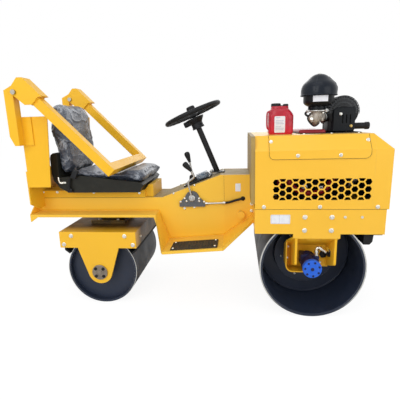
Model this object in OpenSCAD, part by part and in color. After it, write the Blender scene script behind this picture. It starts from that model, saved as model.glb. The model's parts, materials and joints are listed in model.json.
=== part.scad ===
// Ride-on asphalt roller: wide driven front drum under an engine hood, narrower steered
// rear drum in a yoke under the seat, folding roll bar laid forward over the seat.
// Millimetres. +X is forward, +Y is the machine's left, +Z is up, and the floor is Z = 0.
// Lengths along X are counted from the front axle; from_front() moves them to the origin.

/* [Drums] */
// Diameter of the front drum
front_drum_d = 560; // [500:10:620]
// Width of the front drum
front_drum_w = 700; // [640:10:800]
// Diameter of the rear drum
rear_drum_d = 425; // [380:5:450]
// Width of the rear drum
rear_drum_w = 510; // [440:10:560]
// Distance between the two axles
wheelbase = 1210; // [1160:10:1400]
// Wall of the front drum's shell
front_drum_wall = 16; // [10:1:22]
// Wall of the rear drum's shell
rear_drum_wall = 12; // [8:1:16]
// Depth of the recess at each end of the front drum
front_recess = 270; // [240:5:290]
// Depth of the recess at each end of the rear drum
rear_recess = 34; // [20:2:60]
// Thickness of the discs that close the drums
drum_disc = 12; // [8:1:20]
// Diameter of the front drum's hub
front_hub_d = 352; // [320:4:380]
// Height of the front drum's hub above its disc
front_hub_h = 40; // [20:2:50]
// Diameter of the drive shafts
drive_shaft_d = 50; // [40:2:60]
// Diameter of the rear axle
rear_axle_d = 50; // [40:2:60]

/* [Front frame] */
// Thickness of the frame's plates
frame_plate = 8; // [6:1:12]
// Gap between the front drum's ends and the frame's side plates
drum_side_gap = 12; // [12:1:30]
// Gap between the top of the front drum and the engine deck's underside
deck_gap = 44; // [20:2:80]
// Thickness of the engine deck
deck_plate = 10; // [6:1:12]
// Height of the frame's side plates
frame_side_h = 132; // [110:2:150]
// Distance from the front axle back to the frame's rear face
frame_back = 307; // [300:1:360]
// Distance from the front axle forward to the frame's front face
frame_front = 345; // [335:1:380]
// Diameter of the towing eye in the frame's front plate
tow_eye_d = 30; // [20:1:40]

/* [Drum brackets] */
// Width of the brackets
bracket_w = 238; // [224:2:250]
// Offset of the brackets ahead of the front axle
bracket_ahead = 10; // [0:2:16]
// Thickness of the brackets' plates
bracket_plate = 8; // [6:1:10]
// Depth of the brackets' recess, inward from the frame's side plates
bracket_depth = 172; // [150:2:190]
// Drop of the brackets' back plates below the front axle
bracket_drop = 52; // [50:1:70]
// Depth of the rim along the brackets' rear and lower edges
bracket_rim = 80; // [50:5:100]
// Diameter of the drive motors' bodies
motor_d = 100; // [80:2:110]

/* [Hood] */
// Height of the hood above the engine deck
hood_h = 374; // [350:2:420]
// Thickness of the hood's sheet
hood_sheet = 4; // [3:1:6]
// Reach of the hood in front of the frame's front face
hood_nose = 11; // [0:1:30]
// Height of the bevel along the hood's top edges
bevel_h = 75; // [50:1:90]
// Width of the bevel along the hood's sides
bevel_side = 55; // [40:1:80]
// Length of the bevel along the hood's front
bevel_front = 81; // [50:1:100]
// Distance between the centres of two honeycomb cells in a column
cell_pitch = 37; // [34:1:42]
// Width of the metal between two honeycomb cells
cell_web = 7; // [5:0.5:9]
// Columns of honeycomb cells on each side
cell_columns = 15; // [9:2:15]
// Full cells in a column
cell_rows = 3; // [2:1:3]
// Height of the honeycomb's lower edge above the engine deck
cell_base = 48; // [40:1:60]

/* [Body] */
// Half width of the central body
body_half = 140; // [120:5:160]
// Thickness of the body's plates
body_plate = 8; // [6:1:10]
// Height of the rear beam
beam_h = 82; // [70:2:100]
// Length of the rear beam behind the rear axle
beam_tail = 428; // [400:2:460]
// Height of the body's flat top above the beam's underside
body_h = 213; // [180:1:230]
// Depth of the footwell below the beam's underside
step_drop = 176; // [150:1:190]
// Rise of the footwell's floor from its rear to its front
step_rise = 26; // [0:1:40]
// Distance from the rear axle forward to the footwell
well_ahead = 342; // [336:2:380]
// Run of the footwell's rear slope
well_run = 56; // [40:2:80]
// Run of the footwell's front slope
well_nose = 171; // [150:1:190]
// Height of the footwell's front slope
well_nose_h = 126; // [110:2:130]
// Distance from the rear axle forward to the body's upper slope
slope_ahead = 365; // [355:5:385]
// Length of the body's flat top behind the frame
slope_flat = 189; // [170:1:200]
// Width of the rear flanges outside the beam
rear_flange = 100; // [80:5:110]
// Thickness of the flanges
flange_plate = 6; // [4:1:8]
// Height of the lip along the flanges' outer edges
flange_lip = 16; // [10:1:25]
// Length of the step treads
tread_l = 262; // [200:2:280]
// Width of the step treads
tread_w = 128; // [90:2:140]

/* [Seat] */
// Height of the seat tray
tray_h = 46; // [40:1:60]
// Length of the seat tray in front of the rear axle
tray_ahead = 260; // [240:5:280]
// Distance from the rear axle forward to the cushion's front
seat_ahead = 296; // [284:2:304]
// Height of the pan's front edge above the seat tray
pan_t = 56; // [46:1:62]
// Rise of the pan from its front edge to its rear
pan_rise = 45; // [34:1:50]
// Height of the seat shell's back above the tray
shell_h = 235; // [210:5:260]
// Thickness of the seat shell's back
shell_t = 44; // [30:1:50]
// Width of the seat
seat_w = 440; // [400:5:460]
// Length of the seat's cushion
cushion_l = 478; // [450:2:500]
// Thickness of the seat's cushion
cushion_t = 49; // [40:1:60]
// Height of the backrest above the seat tray
backrest_h = 522; // [480:2:540]
// Thickness of the backrest
backrest_t = 84; // [60:2:90]
// Height of the gap between the tray and the backrest
backrest_up = 92; // [70:2:100]
// Lean of the backrest's top behind its foot
backrest_lean = 42; // [20:1:50]

/* [Roll bar] */
// Side of the roll bar's square tube
bar_tube = 50; // [40:1:60]
// Wall of the roll bar's square tube
bar_wall = 4; // [3:1:6]
// Overall width of the roll bar's hoop
bar_span = 682; // [660:2:700]
// Length of the hoop's arms beyond the pivot
bar_reach = 655; // [640:5:680]
// Height of the roll bar's pivot above the beam's underside
pivot_h = 696; // [680:2:760]
// Distance of the roll bar's pivot behind the rear axle
pivot_back = 352; // [345:1:360]
// Diameter of the roll bar's pivot pins
pin_d = 16; // [12:1:20]
// Gap between the cushion and the laid-down bar
bar_gap = 8; // [8:1:60]
// Width of the roll bar's columns
column_w = 135; // [110:1:150]
// Length of the posts below the roll bar's pivot
post_drop = 281; // [250:1:300]
// Height of the plates that tie the posts to the columns
tie_h = 155; // [120:5:180]

/* [Steering] */
// Diameter of the steering wheel
wheel_d = 360; // [300:5:380]
// Thickness of the steering wheel's rim
rim_d = 27; // [20:1:32]
// Lean of the steering column from the vertical
column_lean = 22; // [15:1:25]
// Length of the steering column's tube
column_l = 330; // [290:5:360]
// Diameter of the steering column's tube
column_d = 34; // [28:1:44]

/* [Rear yoke] */
// Half length of the yoke
yoke_half_l = 230; // [222:2:245]
// Height of the yoke's box
yoke_h = 97; // [80:1:110]
// Thickness of the yoke's plates
yoke_plate = 12; // [8:1:14]
// Gap between the rear drum's ends and the yoke's side plates
yoke_side_gap = 25; // [20:1:35]
// Gap between the top of the rear drum and the yoke's top plate
yoke_top_gap = 23; // [15:1:40]
// Height of the pivot between the yoke and the beam
yoke_pivot_h = 90; // [75:1:110]
// Diameter of the yoke's pivot
yoke_pivot_d = 150; // [120:5:180]

/* [Engine] */
// Length of the engine block
engine_l = 380; // [340:5:400]
// Width of the engine block
engine_w = 320; // [280:5:340]
// Height of the engine block
engine_h = 250; // [220:5:280]
// Length of the fuel tank
tank_l = 146; // [120:2:160]
// Width of the fuel tank
tank_w = 266; // [240:2:280]
// Length of the coolant bottle
bottle_l = 134; // [110:2:150]
// Width of the coolant bottle
bottle_w = 120; // [90:2:140]
// Height of the coolant bottle's body
bottle_h = 138; // [110:2:150]
// Diameter of the muffler
muffler_d = 176; // [150:2:180]
// Length of the muffler
muffler_l = 130; // [110:2:150]
// Diameter of the air cleaner's cap
cleaner_d = 190; // [160:5:210]
// Height of the air cleaner
cleaner_h = 190; // [170:5:220]
// Outer diameter of the tail pipe
tail_pipe_d = 42; // [34:1:50]
// Length of the tail pipe beyond the muffler
tail_pipe_l = 95; // [60:5:110]

/* [Hidden] */
$fn = 64;

paint = "gold";
black = [0.10, 0.10, 0.11];
steel = "silver";

// running clearance of a pin in its bore, and the gap kept round moving pieces
fit = 0.05;
play = 6;

front_axle_z = front_drum_d / 2;
rear_axle_z = rear_drum_d / 2;
rear_x = -wheelbase;

frame_half = front_drum_w / 2 + drum_side_gap + frame_plate;
deck_z = front_drum_d + deck_gap;
frame_top = deck_z + deck_plate;
frame_bot = frame_top - frame_side_h;
hood_front = frame_front + hood_nose;
hood_top = frame_top + hood_h;

beam_z = rear_drum_d + yoke_top_gap + yoke_plate + yoke_pivot_h;
beam_top = beam_z + beam_h;
body_top = beam_z + body_h;
beam_rear = rear_x - beam_tail;
flange_half = body_half + rear_flange;
step_half = frame_half;

// footwell: rear diagonal, floor, front diagonal
well_rear = rear_x + well_ahead;
well_floor_rear = well_rear + well_run;
well_floor_front = -frame_back - well_nose;
well_floor_z = beam_z - step_drop;
slope_rear = rear_x + slope_ahead;
slope_front = -frame_back - slope_flat;

tray_top = beam_top + tray_h;
cushion_top = tray_top + pan_t + cushion_t;
pivot = [rear_x - pivot_back, beam_z + pivot_h];
post_x1 = pivot[0] - 15;
post_x0 = post_x1 - bar_tube;

// the origin lies under the middle of the whole machine
front_x = (-min(beam_rear, post_x0) - hood_front) / 2;

// ---------- helpers ----------

module from_front() { translate([front_x, 0, 0]) children(); }

// a flat outline drawn in X and Z, filling Y from y0 to y1
module xz(y0, y1) { translate([0, y1, 0]) rotate([90, 0, 0]) linear_extrude(y1 - y0) children(); }

// a flat outline drawn in Y and Z, filling X from x0 to x1
module yz(x0, x1) { translate([x0, 0, 0]) rotate([90, 0, 90]) linear_extrude(x1 - x0) children(); }

// a cylinder along Y from y0 to y1, at x and z
module rod_y(d, x, z, y0, y1) { translate([x, y1, z]) rotate([90, 0, 0]) cylinder(d = d, h = y1 - y0); }

// a box given by its two corners
module block(a, b) { translate(a) cube(b - a); }

// the same piece on the right and on the left side
module both_sides() { children(); mirror([0, 1, 0]) children(); }

function unit_normal(a, b) = let (v = b - a) [v[1], -v[0]] / norm(v);

// a path moved sideways by t, to its right hand, with mitred corners
function beside(path, t) = [
  for (i = [0 : len(path) - 1])
    let (
      n1 = i > 0 ? unit_normal(path[i - 1], path[i]) : unit_normal(path[i], path[i + 1]),
      n2 = i < len(path) - 1 ? unit_normal(path[i], path[i + 1]) : n1
    )
    path[i] + (n1 + n2) / (1 + n1 * n2) * t
];

// the outline of a bent strip of thickness t along a path
function strip(path, t) =
  let (far = beside(path, t), last = len(path) - 1)
  concat(path, [for (i = [last : -1 : 0]) far[i]]);

// ---------- central body ----------

// underside of the body from the beam's rear end to the front frame, in X and Z
well_front_z = well_floor_z + step_rise + well_nose_h;
under_path = [
  [beam_rear, beam_z],
  [well_rear, beam_z],
  [well_floor_rear, well_floor_z],
  [well_floor_front, well_floor_z + step_rise],
  [-frame_back, well_front_z]
];
// top of the body, in X and Z
top_path = [
  [-frame_back, body_top],
  [slope_front, body_top],
  [slope_rear, beam_top],
  [beam_rear, beam_top]
];
// outer edge of the flange, in X and Y
edge_path = [
  [-frame_back, -flange_half],
  [well_floor_front, -step_half],
  [well_floor_rear, -step_half],
  [well_rear, -flange_half],
  [beam_rear, -flange_half]
];

module flange_edge(width) {
  linear_extrude(body_top) polygon(strip(edge_path, width));
}

module side_plate() {
  // upright web
  xz(-body_half, -body_half + body_plate) polygon(concat(under_path, top_path));
  // flange that carries the step
  intersection() {
    xz(-step_half, -body_half + body_plate) polygon(strip(under_path, flange_plate));
    linear_extrude(body_top)
      polygon(concat(edge_path,
        [[beam_rear, -body_half + body_plate], [-frame_back, -body_half + body_plate]]));
  }
  // lip along the flange's edge
  intersection() {
    xz(-step_half, -body_half) polygon(strip(under_path, flange_lip));
    flange_edge(flange_plate);
  }
  // gusset at the rear end
  yz(beam_rear, beam_rear + flange_plate)
    polygon([[-body_half, beam_z], [-body_half, beam_top], [-flange_half, beam_z]]);
  // skid under the rear corner
  xz(-flange_half, -flange_half + flange_plate)
    polygon([[beam_rear, beam_z], [beam_rear + 70, beam_z], [beam_rear + 6, beam_z - 44],
      [beam_rear, beam_z - 44]]);
  // boss over the footwell's front
  rod_y(44, -frame_back - 70, well_front_z + 2, -body_half - 24, -body_half + 2);
}

module side_plates() { color(paint) from_front() both_sides() side_plate(); }

// cover between the webs, bent up over the slope
module body_cover() {
  inner = body_half - body_plate;
  color(paint) from_front() xz(-inner, inner)
    polygon(strip([[beam_rear, beam_top], [slope_rear, beam_top], [slope_front, body_top],
      [-frame_back, body_top]], 5));
}

// underside between the webs
module belly_plate() {
  inner = body_half - body_plate;
  color(paint) from_front() xz(-inner, inner) polygon([
    for (p = concat(beside(under_path, -flange_plate), [for (i = [4 : -1 : 0]) under_path[i]])) p
  ]);
}

// plate across the rear that carries the roll bar's columns
cross_x = pivot[0] - 38;
column_y = bar_span / 2 - bar_tube - 8;

module rear_cross_plate() {
  top = tray_top + 3 * tray_h;
  color(paint) from_front() yz(cross_x, cross_x + body_plate) difference() {
    polygon([
      [-column_y, beam_top - 10], [-flange_half + 40, beam_z + 30], [-body_half, beam_z + 30],
      [body_half, beam_z + 30], [flange_half - 40, beam_z + 30], [column_y, beam_top - 10],
      [column_y, top], [-column_y, top]
    ]);
    translate([-body_half, 0]) square([2 * body_half, tray_top]);
  }
}

module step_treads() {
  x0 = well_floor_rear + 44;
  slope = atan(step_rise / (well_floor_front - well_floor_rear));
  color(black) from_front() both_sides()
    translate([x0, -step_half + 12, well_floor_z + 44 * tan(slope)])
      rotate([0, -slope, 0]) cube([tread_l, tread_w, 5]);
}

// ---------- seat ----------

seat_front = rear_x + seat_ahead;
seat_rear = seat_front - cushion_l;
// plane where the backrest leans against its shell
seat_back = seat_rear - 48;
seat_stand = 120;
// line on which the cushion lies, in X and Z
cushion_line = [
  [seat_rear + 26, tray_top + backrest_up], [seat_rear + 65, tray_top + pan_t + pan_rise],
  [seat_front - 39, tray_top + pan_t]
];

module seat_tray() {
  x1 = rear_x + tray_ahead;
  color(paint) from_front() {
    block([beam_rear, -body_half, beam_top], [x1, body_half, tray_top]);
    // stand under the cushion's front
    xz(-seat_stand, seat_stand)
      polygon([[x1, beam_top], [x1 + 47, beam_top], [x1 + 47, tray_top + 30], [x1 + 20, tray_top + 30],
        [x1, tray_top]]);
  }
}

module seat_shell() {
  half = seat_w / 2;
  color(black) from_front() {
    // pan under the cushion, bent up behind the backrest
    xz(-half + 6, half - 6) polygon(concat(
      [[seat_back + 60, tray_top], [seat_front - 48, tray_top], [seat_front - 22, tray_top + pan_t - 14]],
      [for (i = [2 : -1 : 0]) cushion_line[i]],
      [
        [seat_back, tray_top + backrest_up], [seat_back, tray_top + shell_h],
        [seat_back - shell_t / 2, tray_top + shell_h],
        [seat_back - 0.86 * shell_t, tray_top + shell_h - 10],
        [seat_back - shell_t, tray_top + shell_h - 28],
        [seat_back - shell_t, tray_top + shell_h / 2], [seat_back - 0.8 * shell_t, tray_top + 72],
        [seat_back, tray_top + 28], [seat_back + 40, tray_top + 6]
      ]
    ));
  }
}

module seat_cushion() {
  half = seat_w / 2;
  color(black) from_front() xz(-half, half) polygon(concat(cushion_line, [
    [seat_front, cushion_top - 8], [seat_front, cushion_top], [seat_front - 70, cushion_top + 18],
    [seat_front - 124, cushion_top + 16], [seat_front - 170, cushion_top], [seat_rear + 272, cushion_top],
    [seat_rear + 180, cushion_top + 14], [seat_rear + 58, cushion_top + 28],
    [seat_rear + 26, cushion_top + 18]
  ]));
}

module seat_backrest() {
  half = seat_w / 2 - 10;
  x0 = seat_back;
  lean = backrest_lean;
  z0 = tray_top + backrest_up;
  z1 = tray_top + backrest_h;
  color(black) from_front() xz(-half, half) polygon([
    [x0, z0], [x0 + backrest_t - 20, z0 + 2], [x0 + backrest_t - 18, z0 + 40],
    [x0 + backrest_t - lean, z1 - 40], [x0 + backrest_t / 2 - lean, z1], [x0 + 4 - lean, z1 - 40],
    [x0, tray_top + shell_h + 7]
  ]);
}

module belt_buckle() {
  y = -seat_w / 2 - 1;
  color(black) from_front() {
    translate([seat_rear + 18, y - 17, tray_top + 96]) rotate([0, 28, 0]) cube([34, 16, 74]);
    yz(seat_rear + 2, seat_rear + 32) polygon([
      [y - 10, tray_top + 4], [-seat_w / 2 + 6, tray_top + 4], [-seat_w / 2 + 6, tray_top + pan_t - 2],
      [y, tray_top + pan_t - 2], [y, tray_top + 112], [y - 10, tray_top + 112]
    ]);
  }
}

// ---------- roll bar ----------

post_y0 = -bar_span / 2;
post_y1 = post_y0 + bar_tube;
column_top = pivot[1] - post_drop + tie_h;
column_bot = tray_top + tray_h;

// bent column beside the seat
module rops_columns() {
  wall = 6;
  x0 = cross_x + body_plate;
  x1 = x0 + column_w;
  y1 = -seat_w / 2 - 1;
  color(paint) from_front() both_sides() difference() {
    xz(-column_y, y1) polygon([[x0, column_bot], [x1 - 4, column_bot], [x1 + 24, column_top],
      [x0, column_top]]);
    block([x0 + wall, -column_y + wall, column_bot - 1], [x1 + column_w, y1 + 1, column_top + 1]);
  }
}

// lower posts with the lugs that hold the hinge pins
module rops_posts() {
  z0 = pivot[1] - post_drop;
  z1 = pivot[1] + 28;
  color(paint) from_front() both_sides() {
    difference() {
      xz(post_y0, post_y1) polygon([
        [post_x0, z0 + 50], [post_x0 + 24, z0], [post_x1, z0], [post_x1, z1 + 8], [post_x0, z1 - 16]
      ]);
      xz(post_y0 + bar_wall, post_y1 - bar_wall) polygon([
        [post_x0 + bar_wall, z0 + 52], [post_x0 + 26, z0 + bar_wall], [post_x1 - bar_wall, z0 + bar_wall],
        [post_x1 - bar_wall, z1], [post_x0 + bar_wall, z1 - 22]
      ]);
    }
    // plate that ties the post to its column
    block([post_x0, post_y1, z0], [cross_x + body_plate + column_w / 2, -column_y, column_top]);
    // lug in front of the post
    difference() {
      union() {
        rod_y(2 * pin_d, pivot[0], pivot[1], post_y0 + 4, post_y1 - 4);
        block([post_x1, post_y0 + 4, pivot[1] - pin_d], [pivot[0], post_y1 - 4, pivot[1] + pin_d]);
      }
      rod_y(pin_d, pivot[0], pivot[1], post_y0, post_y1);
    }
  }
}

cheek = 6;
cheek_y0 = post_y0 - play - cheek;
cheek_y1 = post_y1 + play;

module rops_pins() {
  color(steel) from_front() both_sides() {
    rod_y(pin_d, pivot[0], pivot[1], cheek_y0 - 1, cheek_y1 + cheek + 1);
    rod_y(pin_d + 10, pivot[0], pivot[1], cheek_y0 - 11, cheek_y0 - 1);
    rod_y(pin_d + 10, pivot[0], pivot[1], cheek_y1 + cheek + 1, cheek_y1 + cheek + 11);
  }
}

// the hoop's shape beside its pivot: along the arm and across it
arm_low = 17;
// angle below the horizontal at which the bar lies just over the cushion
bar_drop = asin((pivot[1] - cushion_top - bar_gap) / norm([bar_reach, arm_low]))
  + atan(arm_low / bar_reach);
cheek_outline = [
  [-31, 16], [-35, 68], [-15, 88], [125, 88], [111, 71], [111, arm_low], [84, -10], [6, -16],
  [-16, -16], [-28, 0]
];

module rops_hoop() {
  outer = -post_y0;
  color(paint) from_front() translate([pivot[0], 0, pivot[1]]) rotate([0, bar_drop, 0]) {
    both_sides() {
      // arm
      difference() {
        xz(-outer, -outer + bar_tube) translate([96, arm_low]) square([bar_reach - 96, bar_tube]);
        xz(-outer + bar_wall, -outer + bar_tube - bar_wall)
          translate([96 + 6, arm_low + bar_wall])
            square([bar_reach - 96 - 6 - bar_wall, bar_tube - 2 * bar_wall]);
      }
      // two cheeks, the plate over them and the collar that joins them to the arm
      difference() {
        union() {
          xz(cheek_y0, cheek_y0 + cheek) polygon(cheek_outline);
          xz(cheek_y1, cheek_y1 + cheek) polygon(cheek_outline);
          xz(cheek_y0, cheek_y1 + cheek) translate([-15, 81]) square([133, 7]);
          xz(cheek_y0, cheek_y1 + cheek) translate([96, arm_low]) square([15, bar_tube + 15]);
        }
        rod_y(pin_d + 2 * fit, 0, 0, cheek_y0 - 1, cheek_y1 + cheek + 1);
      }
    }
    // bar across the two arms
    difference() {
      xz(-outer + bar_tube - bar_wall, outer - bar_tube + bar_wall)
        translate([bar_reach - bar_tube, arm_low]) square([bar_tube, bar_tube]);
      xz(-outer + bar_tube, outer - bar_tube)
        translate([bar_reach - bar_tube + bar_wall, arm_low + bar_wall])
          square([bar_tube - 2 * bar_wall, bar_tube - 2 * bar_wall]);
    }
  }
}

// ---------- front frame ----------

tab_drop = 24;
bracket_x0 = bracket_ahead - bracket_w / 2;
bracket_x1 = bracket_ahead + bracket_w / 2;

module frame_sides() {
  color(paint) from_front() both_sides() {
    block([-frame_back, -frame_half, frame_bot], [frame_front, -frame_half + frame_plate, frame_top]);
    block([bracket_x0, -frame_half, frame_bot - tab_drop],
      [bracket_x1, -frame_half + frame_plate, frame_bot + 20]);
  }
}

module frame_cross_plates() {
  inner = frame_half - frame_plate;
  color(paint) from_front() {
    block([-frame_back, -inner, frame_bot], [-frame_back + frame_plate, inner, deck_z]);
    difference() {
      block([frame_front - frame_plate, -inner, frame_bot], [frame_front, inner, deck_z]);
      translate([frame_front - 2 * frame_plate, 0, frame_bot + 40]) rotate([0, 90, 0])
        cylinder(d = tow_eye_d, h = 3 * frame_plate);
    }
  }
}

module engine_deck() {
  inner = frame_half - frame_plate;
  color(paint) from_front() block([-frame_back, -inner, deck_z], [frame_front, inner, frame_top]);
}

// ---------- hood ----------

module hood_solid(inset) {
  half = frame_half - inset;
  x0 = -frame_back + (inset > 0 ? -1 : 0);
  x1 = hood_front - inset;
  top = hood_top - inset;
  intersection() {
    xz(-half, half) polygon([
      [x0, frame_top - (inset > 0 ? 1 : 0)], [x1, frame_top - (inset > 0 ? 1 : 0)],
      [x1, top - bevel_h + inset / 2], [x1 - bevel_front + inset / 2, top], [x0, top]
    ]);
    yz(x0, x1) polygon([
      [-half, frame_top - 2], [half, frame_top - 2], [half, top - bevel_h + inset / 2],
      [half - bevel_side + inset / 2, top], [-half + bevel_side - inset / 2, top],
      [-half, top - bevel_h + inset / 2]
    ]);
  }
}

cell_column_pitch = cell_pitch * sqrt(3) / 2;
cell_middle = (hood_front - frame_back) / 2;
cell_z = frame_top + cell_base;

// honeycomb of flat-topped cells, cut off square above and below
module honeycomb() {
  flats = cell_pitch - cell_web;
  height = cell_rows * cell_pitch;
  side_cells = (cell_columns - 1) / 2;
  intersection() {
    translate([cell_middle - (side_cells + 1) * cell_column_pitch, cell_z])
      square([2 * (side_cells + 1) * cell_column_pitch, height]);
    for (c = [-side_cells : side_cells]) {
      odd = abs(c + side_cells) % 2;
      for (r = [0 : cell_rows])
        if (odd == 1 || r < cell_rows)
          translate([cell_middle + c * cell_column_pitch, cell_z + (r + (1 - odd) / 2) * cell_pitch])
            circle(d = flats / cos(30), $fn = 6);
    }
  }
}

opening_x0 = -62;
opening_x1 = hood_front - bevel_front - 26;
opening_half = 205;

// the hood's sheet, hollow inside and open behind and below
module hood_sheet_shape() {
  difference() {
    hood_solid(0);
    hood_solid(hood_sheet);
  }
}

bevel_x = hood_front - bevel_front;
bevel_y = frame_half - bevel_side;

module hood_sides() {
  color(paint) from_front() both_sides() difference() {
    intersection() {
      hood_sheet_shape();
      block([-frame_back, -frame_half, frame_top], [bevel_x, -bevel_y, hood_top]);
    }
    xz(-frame_half - 1, -frame_half + 2 * hood_sheet) honeycomb();
  }
}

module hood_front_panel() {
  slot_pitch = 34;
  color(paint) from_front() difference() {
    intersection() {
      hood_sheet_shape();
      block([bevel_x, -frame_half, frame_top], [hood_front, frame_half, hood_top]);
    }
    // cooling slots
    for (row = [0 : 4])
      block([hood_front - 2 * hood_sheet, -150, frame_top + 90 + slot_pitch * row],
        [hood_front + 1, 150, frame_top + 106 + slot_pitch * row]);
  }
}

module hood_top_panel() {
  color(paint) from_front() difference() {
    intersection() {
      hood_sheet_shape();
      block([-frame_back, -bevel_y, frame_top], [bevel_x, bevel_y, hood_top]);
    }
    // opening round the engine's top
    block([opening_x0, -opening_half, hood_top - 2 * hood_sheet], [opening_x1, opening_half, hood_top + 1]);
  }
}

// closing panel behind the hood, with round upper corners
module hood_rear_panel() {
  half = frame_half - 4;
  r = 60;
  z0 = frame_top + 29;
  color(paint) from_front() yz(-frame_back - 20, -frame_back) difference() {
    union() {
      translate([-half, z0]) square([2 * half, hood_top - r - z0]);
      translate([-half + r, z0]) square([2 * (half - r), hood_top - z0]);
      for (side = [-1, 1]) translate([side * (half - r), hood_top - r]) circle(r = r);
    }
    translate([-body_half, 0]) square([2 * body_half, body_top]);
  }
}

// panels bolted over the bevels, with round lower corners
module access_panels() {
  r = 26;
  x0 = cell_middle - 262;
  x1 = cell_middle + 226;
  z0 = hood_top - bevel_h - 42;
  z1 = hood_top - 3;
  t = 3;
  bend = [-frame_half, hood_top - bevel_h];
  side_path = [[-frame_half, z0], bend, bend + [bevel_side, bevel_h] * (z1 - bend[1]) / bevel_h];
  color(paint) from_front() both_sides() intersection() {
    yz(x0, x1) polygon(strip(side_path, -t));
    xz(-frame_half - 2 * t, 0) {
      translate([x0, z0 + r]) square([x1 - x0, hood_h]);
      translate([x0 + r, z0]) square([x1 - x0 - 2 * r, 2 * r]);
      for (x = [x0 + r, x1 - r]) translate([x, z0 + r]) circle(r = r);
    }
  }
}

// ---------- engine ----------

engine_x0 = -150;
engine_y0 = -130;
engine_top = frame_top + engine_h;

module engine_block() {
  color(black) from_front() {
    block([engine_x0, engine_y0, frame_top], [engine_x0 + engine_l, engine_y0 + engine_w, engine_top]);
    // cylinder head up to the exhaust and the intake
    block([head_x0, muffler_y1, engine_top - 10], [opening_x1 - play, muffler_y1 + 70, hood_top + 96]);
  }
}

module fuel_tank() {
  x0 = opening_x0 + play;
  y0 = -opening_half + 79;
  color("firebrick") from_front() block([x0, y0, engine_top], [x0 + tank_l, y0 + tank_w, hood_top + 20]);
}

// bottle of coolant on the hood, with a filler and a vent
module coolant_bottle() {
  x1 = opening_x0 - 32;
  x0 = x1 - bottle_l;
  y0 = -200;
  y_mid = y0 + bottle_w / 2;
  z1 = hood_top + bottle_h;
  color("crimson") from_front() {
    xz(y0, y0 + bottle_w) polygon([
      [x0 + 8, hood_top], [x1 - 2, hood_top], [x1, z1 - 30], [x1 - 24, z1], [x0 + 12, z1], [x0, z1 - 12]
    ]);
    translate([x0 + 52, y_mid, z1 - 10]) cylinder(d = 50, h = 32);
    translate([x1 - 34, y_mid, z1 - 10]) cylinder(d = 24, h = 36);
  }
}

head_x0 = 125;
cleaner_x = 37;
cleaner_y = -150;
cleaner_z = hood_top + 124;
intake_z = cleaner_z - 54;

module air_cleaner() {
  r = cleaner_d / 2;
  color(black) from_front() translate([cleaner_x, cleaner_y, cleaner_z]) rotate_extrude() polygon([
    [0, 0], [r * 0.49, 0], [r * 0.49, cleaner_h * 0.12], [r * 0.64, cleaner_h * 0.15],
    [r * 0.77, cleaner_h * 0.23], [r * 0.80, cleaner_h * 0.33], [r * 0.80, cleaner_h * 0.38],
    [r, cleaner_h * 0.38], [r * 0.98, cleaner_h * 0.58], [r * 0.90, cleaner_h * 0.66],
    [r * 0.60, cleaner_h * 0.82], [r * 0.46, cleaner_h * 0.90], [r * 0.26, cleaner_h * 0.96],
    [r * 0.09, cleaner_h * 0.97], [r * 0.09, cleaner_h], [0, cleaner_h]
  ]);
}

module intake_elbow() {
  bend = [cleaner_x, cleaner_y, intake_z];
  turn = [cleaner_x + 29, muffler_y1 + 35, intake_z];
  d = 66;
  past_turn = 0.12;
  color(steel) from_front() {
    translate([cleaner_x, cleaner_y, cleaner_z - 9]) cylinder(d = 118, h = 9);
    translate(bend) cylinder(d1 = d, d2 = 84, h = cleaner_z - 9 - intake_z);
    translate(bend) sphere(d = d + 3);
    rod_between(bend, turn + past_turn * (turn - bend), d - 6);
    translate(turn) rotate([0, 90, 0]) cylinder(d = 44, h = head_x0 - turn[0]);
  }
}

muffler_x = 190;
muffler_y0 = -80;
muffler_y1 = muffler_y0 + muffler_l;
muffler_r = muffler_d / 2;

module muffler() {
  z = hood_top + muffler_r + 24;
  x0 = muffler_x - muffler_r + 10;
  color(black) from_front() {
    rod_y(muffler_d, muffler_x, z, muffler_y0 + 9, muffler_y1);
    block([x0, muffler_y0 + 10, hood_top + 4], [muffler_x + muffler_r - 20, muffler_y1, z]);
    xz(muffler_y0, muffler_y0 + 10) difference() {
      polygon([
        [x0, hood_top + 6], [muffler_x + 68, hood_top + 6], [muffler_x + 68, z + 38],
        [muffler_x - 44, z + 38], [x0, z + 18]
      ]);
      for (i = [0 : 2]) translate([muffler_x - 4 + 18 * i, z - 60]) square([7, 50]);
    }
  }
}

pipe_z = hood_top + 32;
pipe_y = (muffler_y0 + 10 + muffler_y1) / 2;
pipe_x0 = muffler_x + muffler_r - 20;

module tail_pipe() {
  color(black) from_front() translate([pipe_x0, pipe_y, pipe_z]) rotate([0, 90, 0]) difference() {
    cylinder(d = tail_pipe_d, h = tail_pipe_l);
    translate([0, 0, 30]) cylinder(d = tail_pipe_d - 6, h = tail_pipe_l);
  }
}

// ---------- front drum and its brackets ----------

back_y0 = -frame_half + frame_plate + bracket_depth - bracket_plate;
back_y1 = back_y0 + bracket_plate;

// rim along a bracket's rear and lower edges, and its corner in X and Z
rim_x = bracket_x0 - 22;
rim_r = 40;
rim_z = front_axle_z - bracket_drop;
rim_y = back_y1 - bracket_rim - bracket_plate;
rim_path = concat(
  [for (a = [0 : 15 : 90]) [rim_x + rim_r - rim_r * cos(a), rim_z + rim_r - rim_r * sin(a)]],
  [[-30, rim_z]]
);

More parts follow.
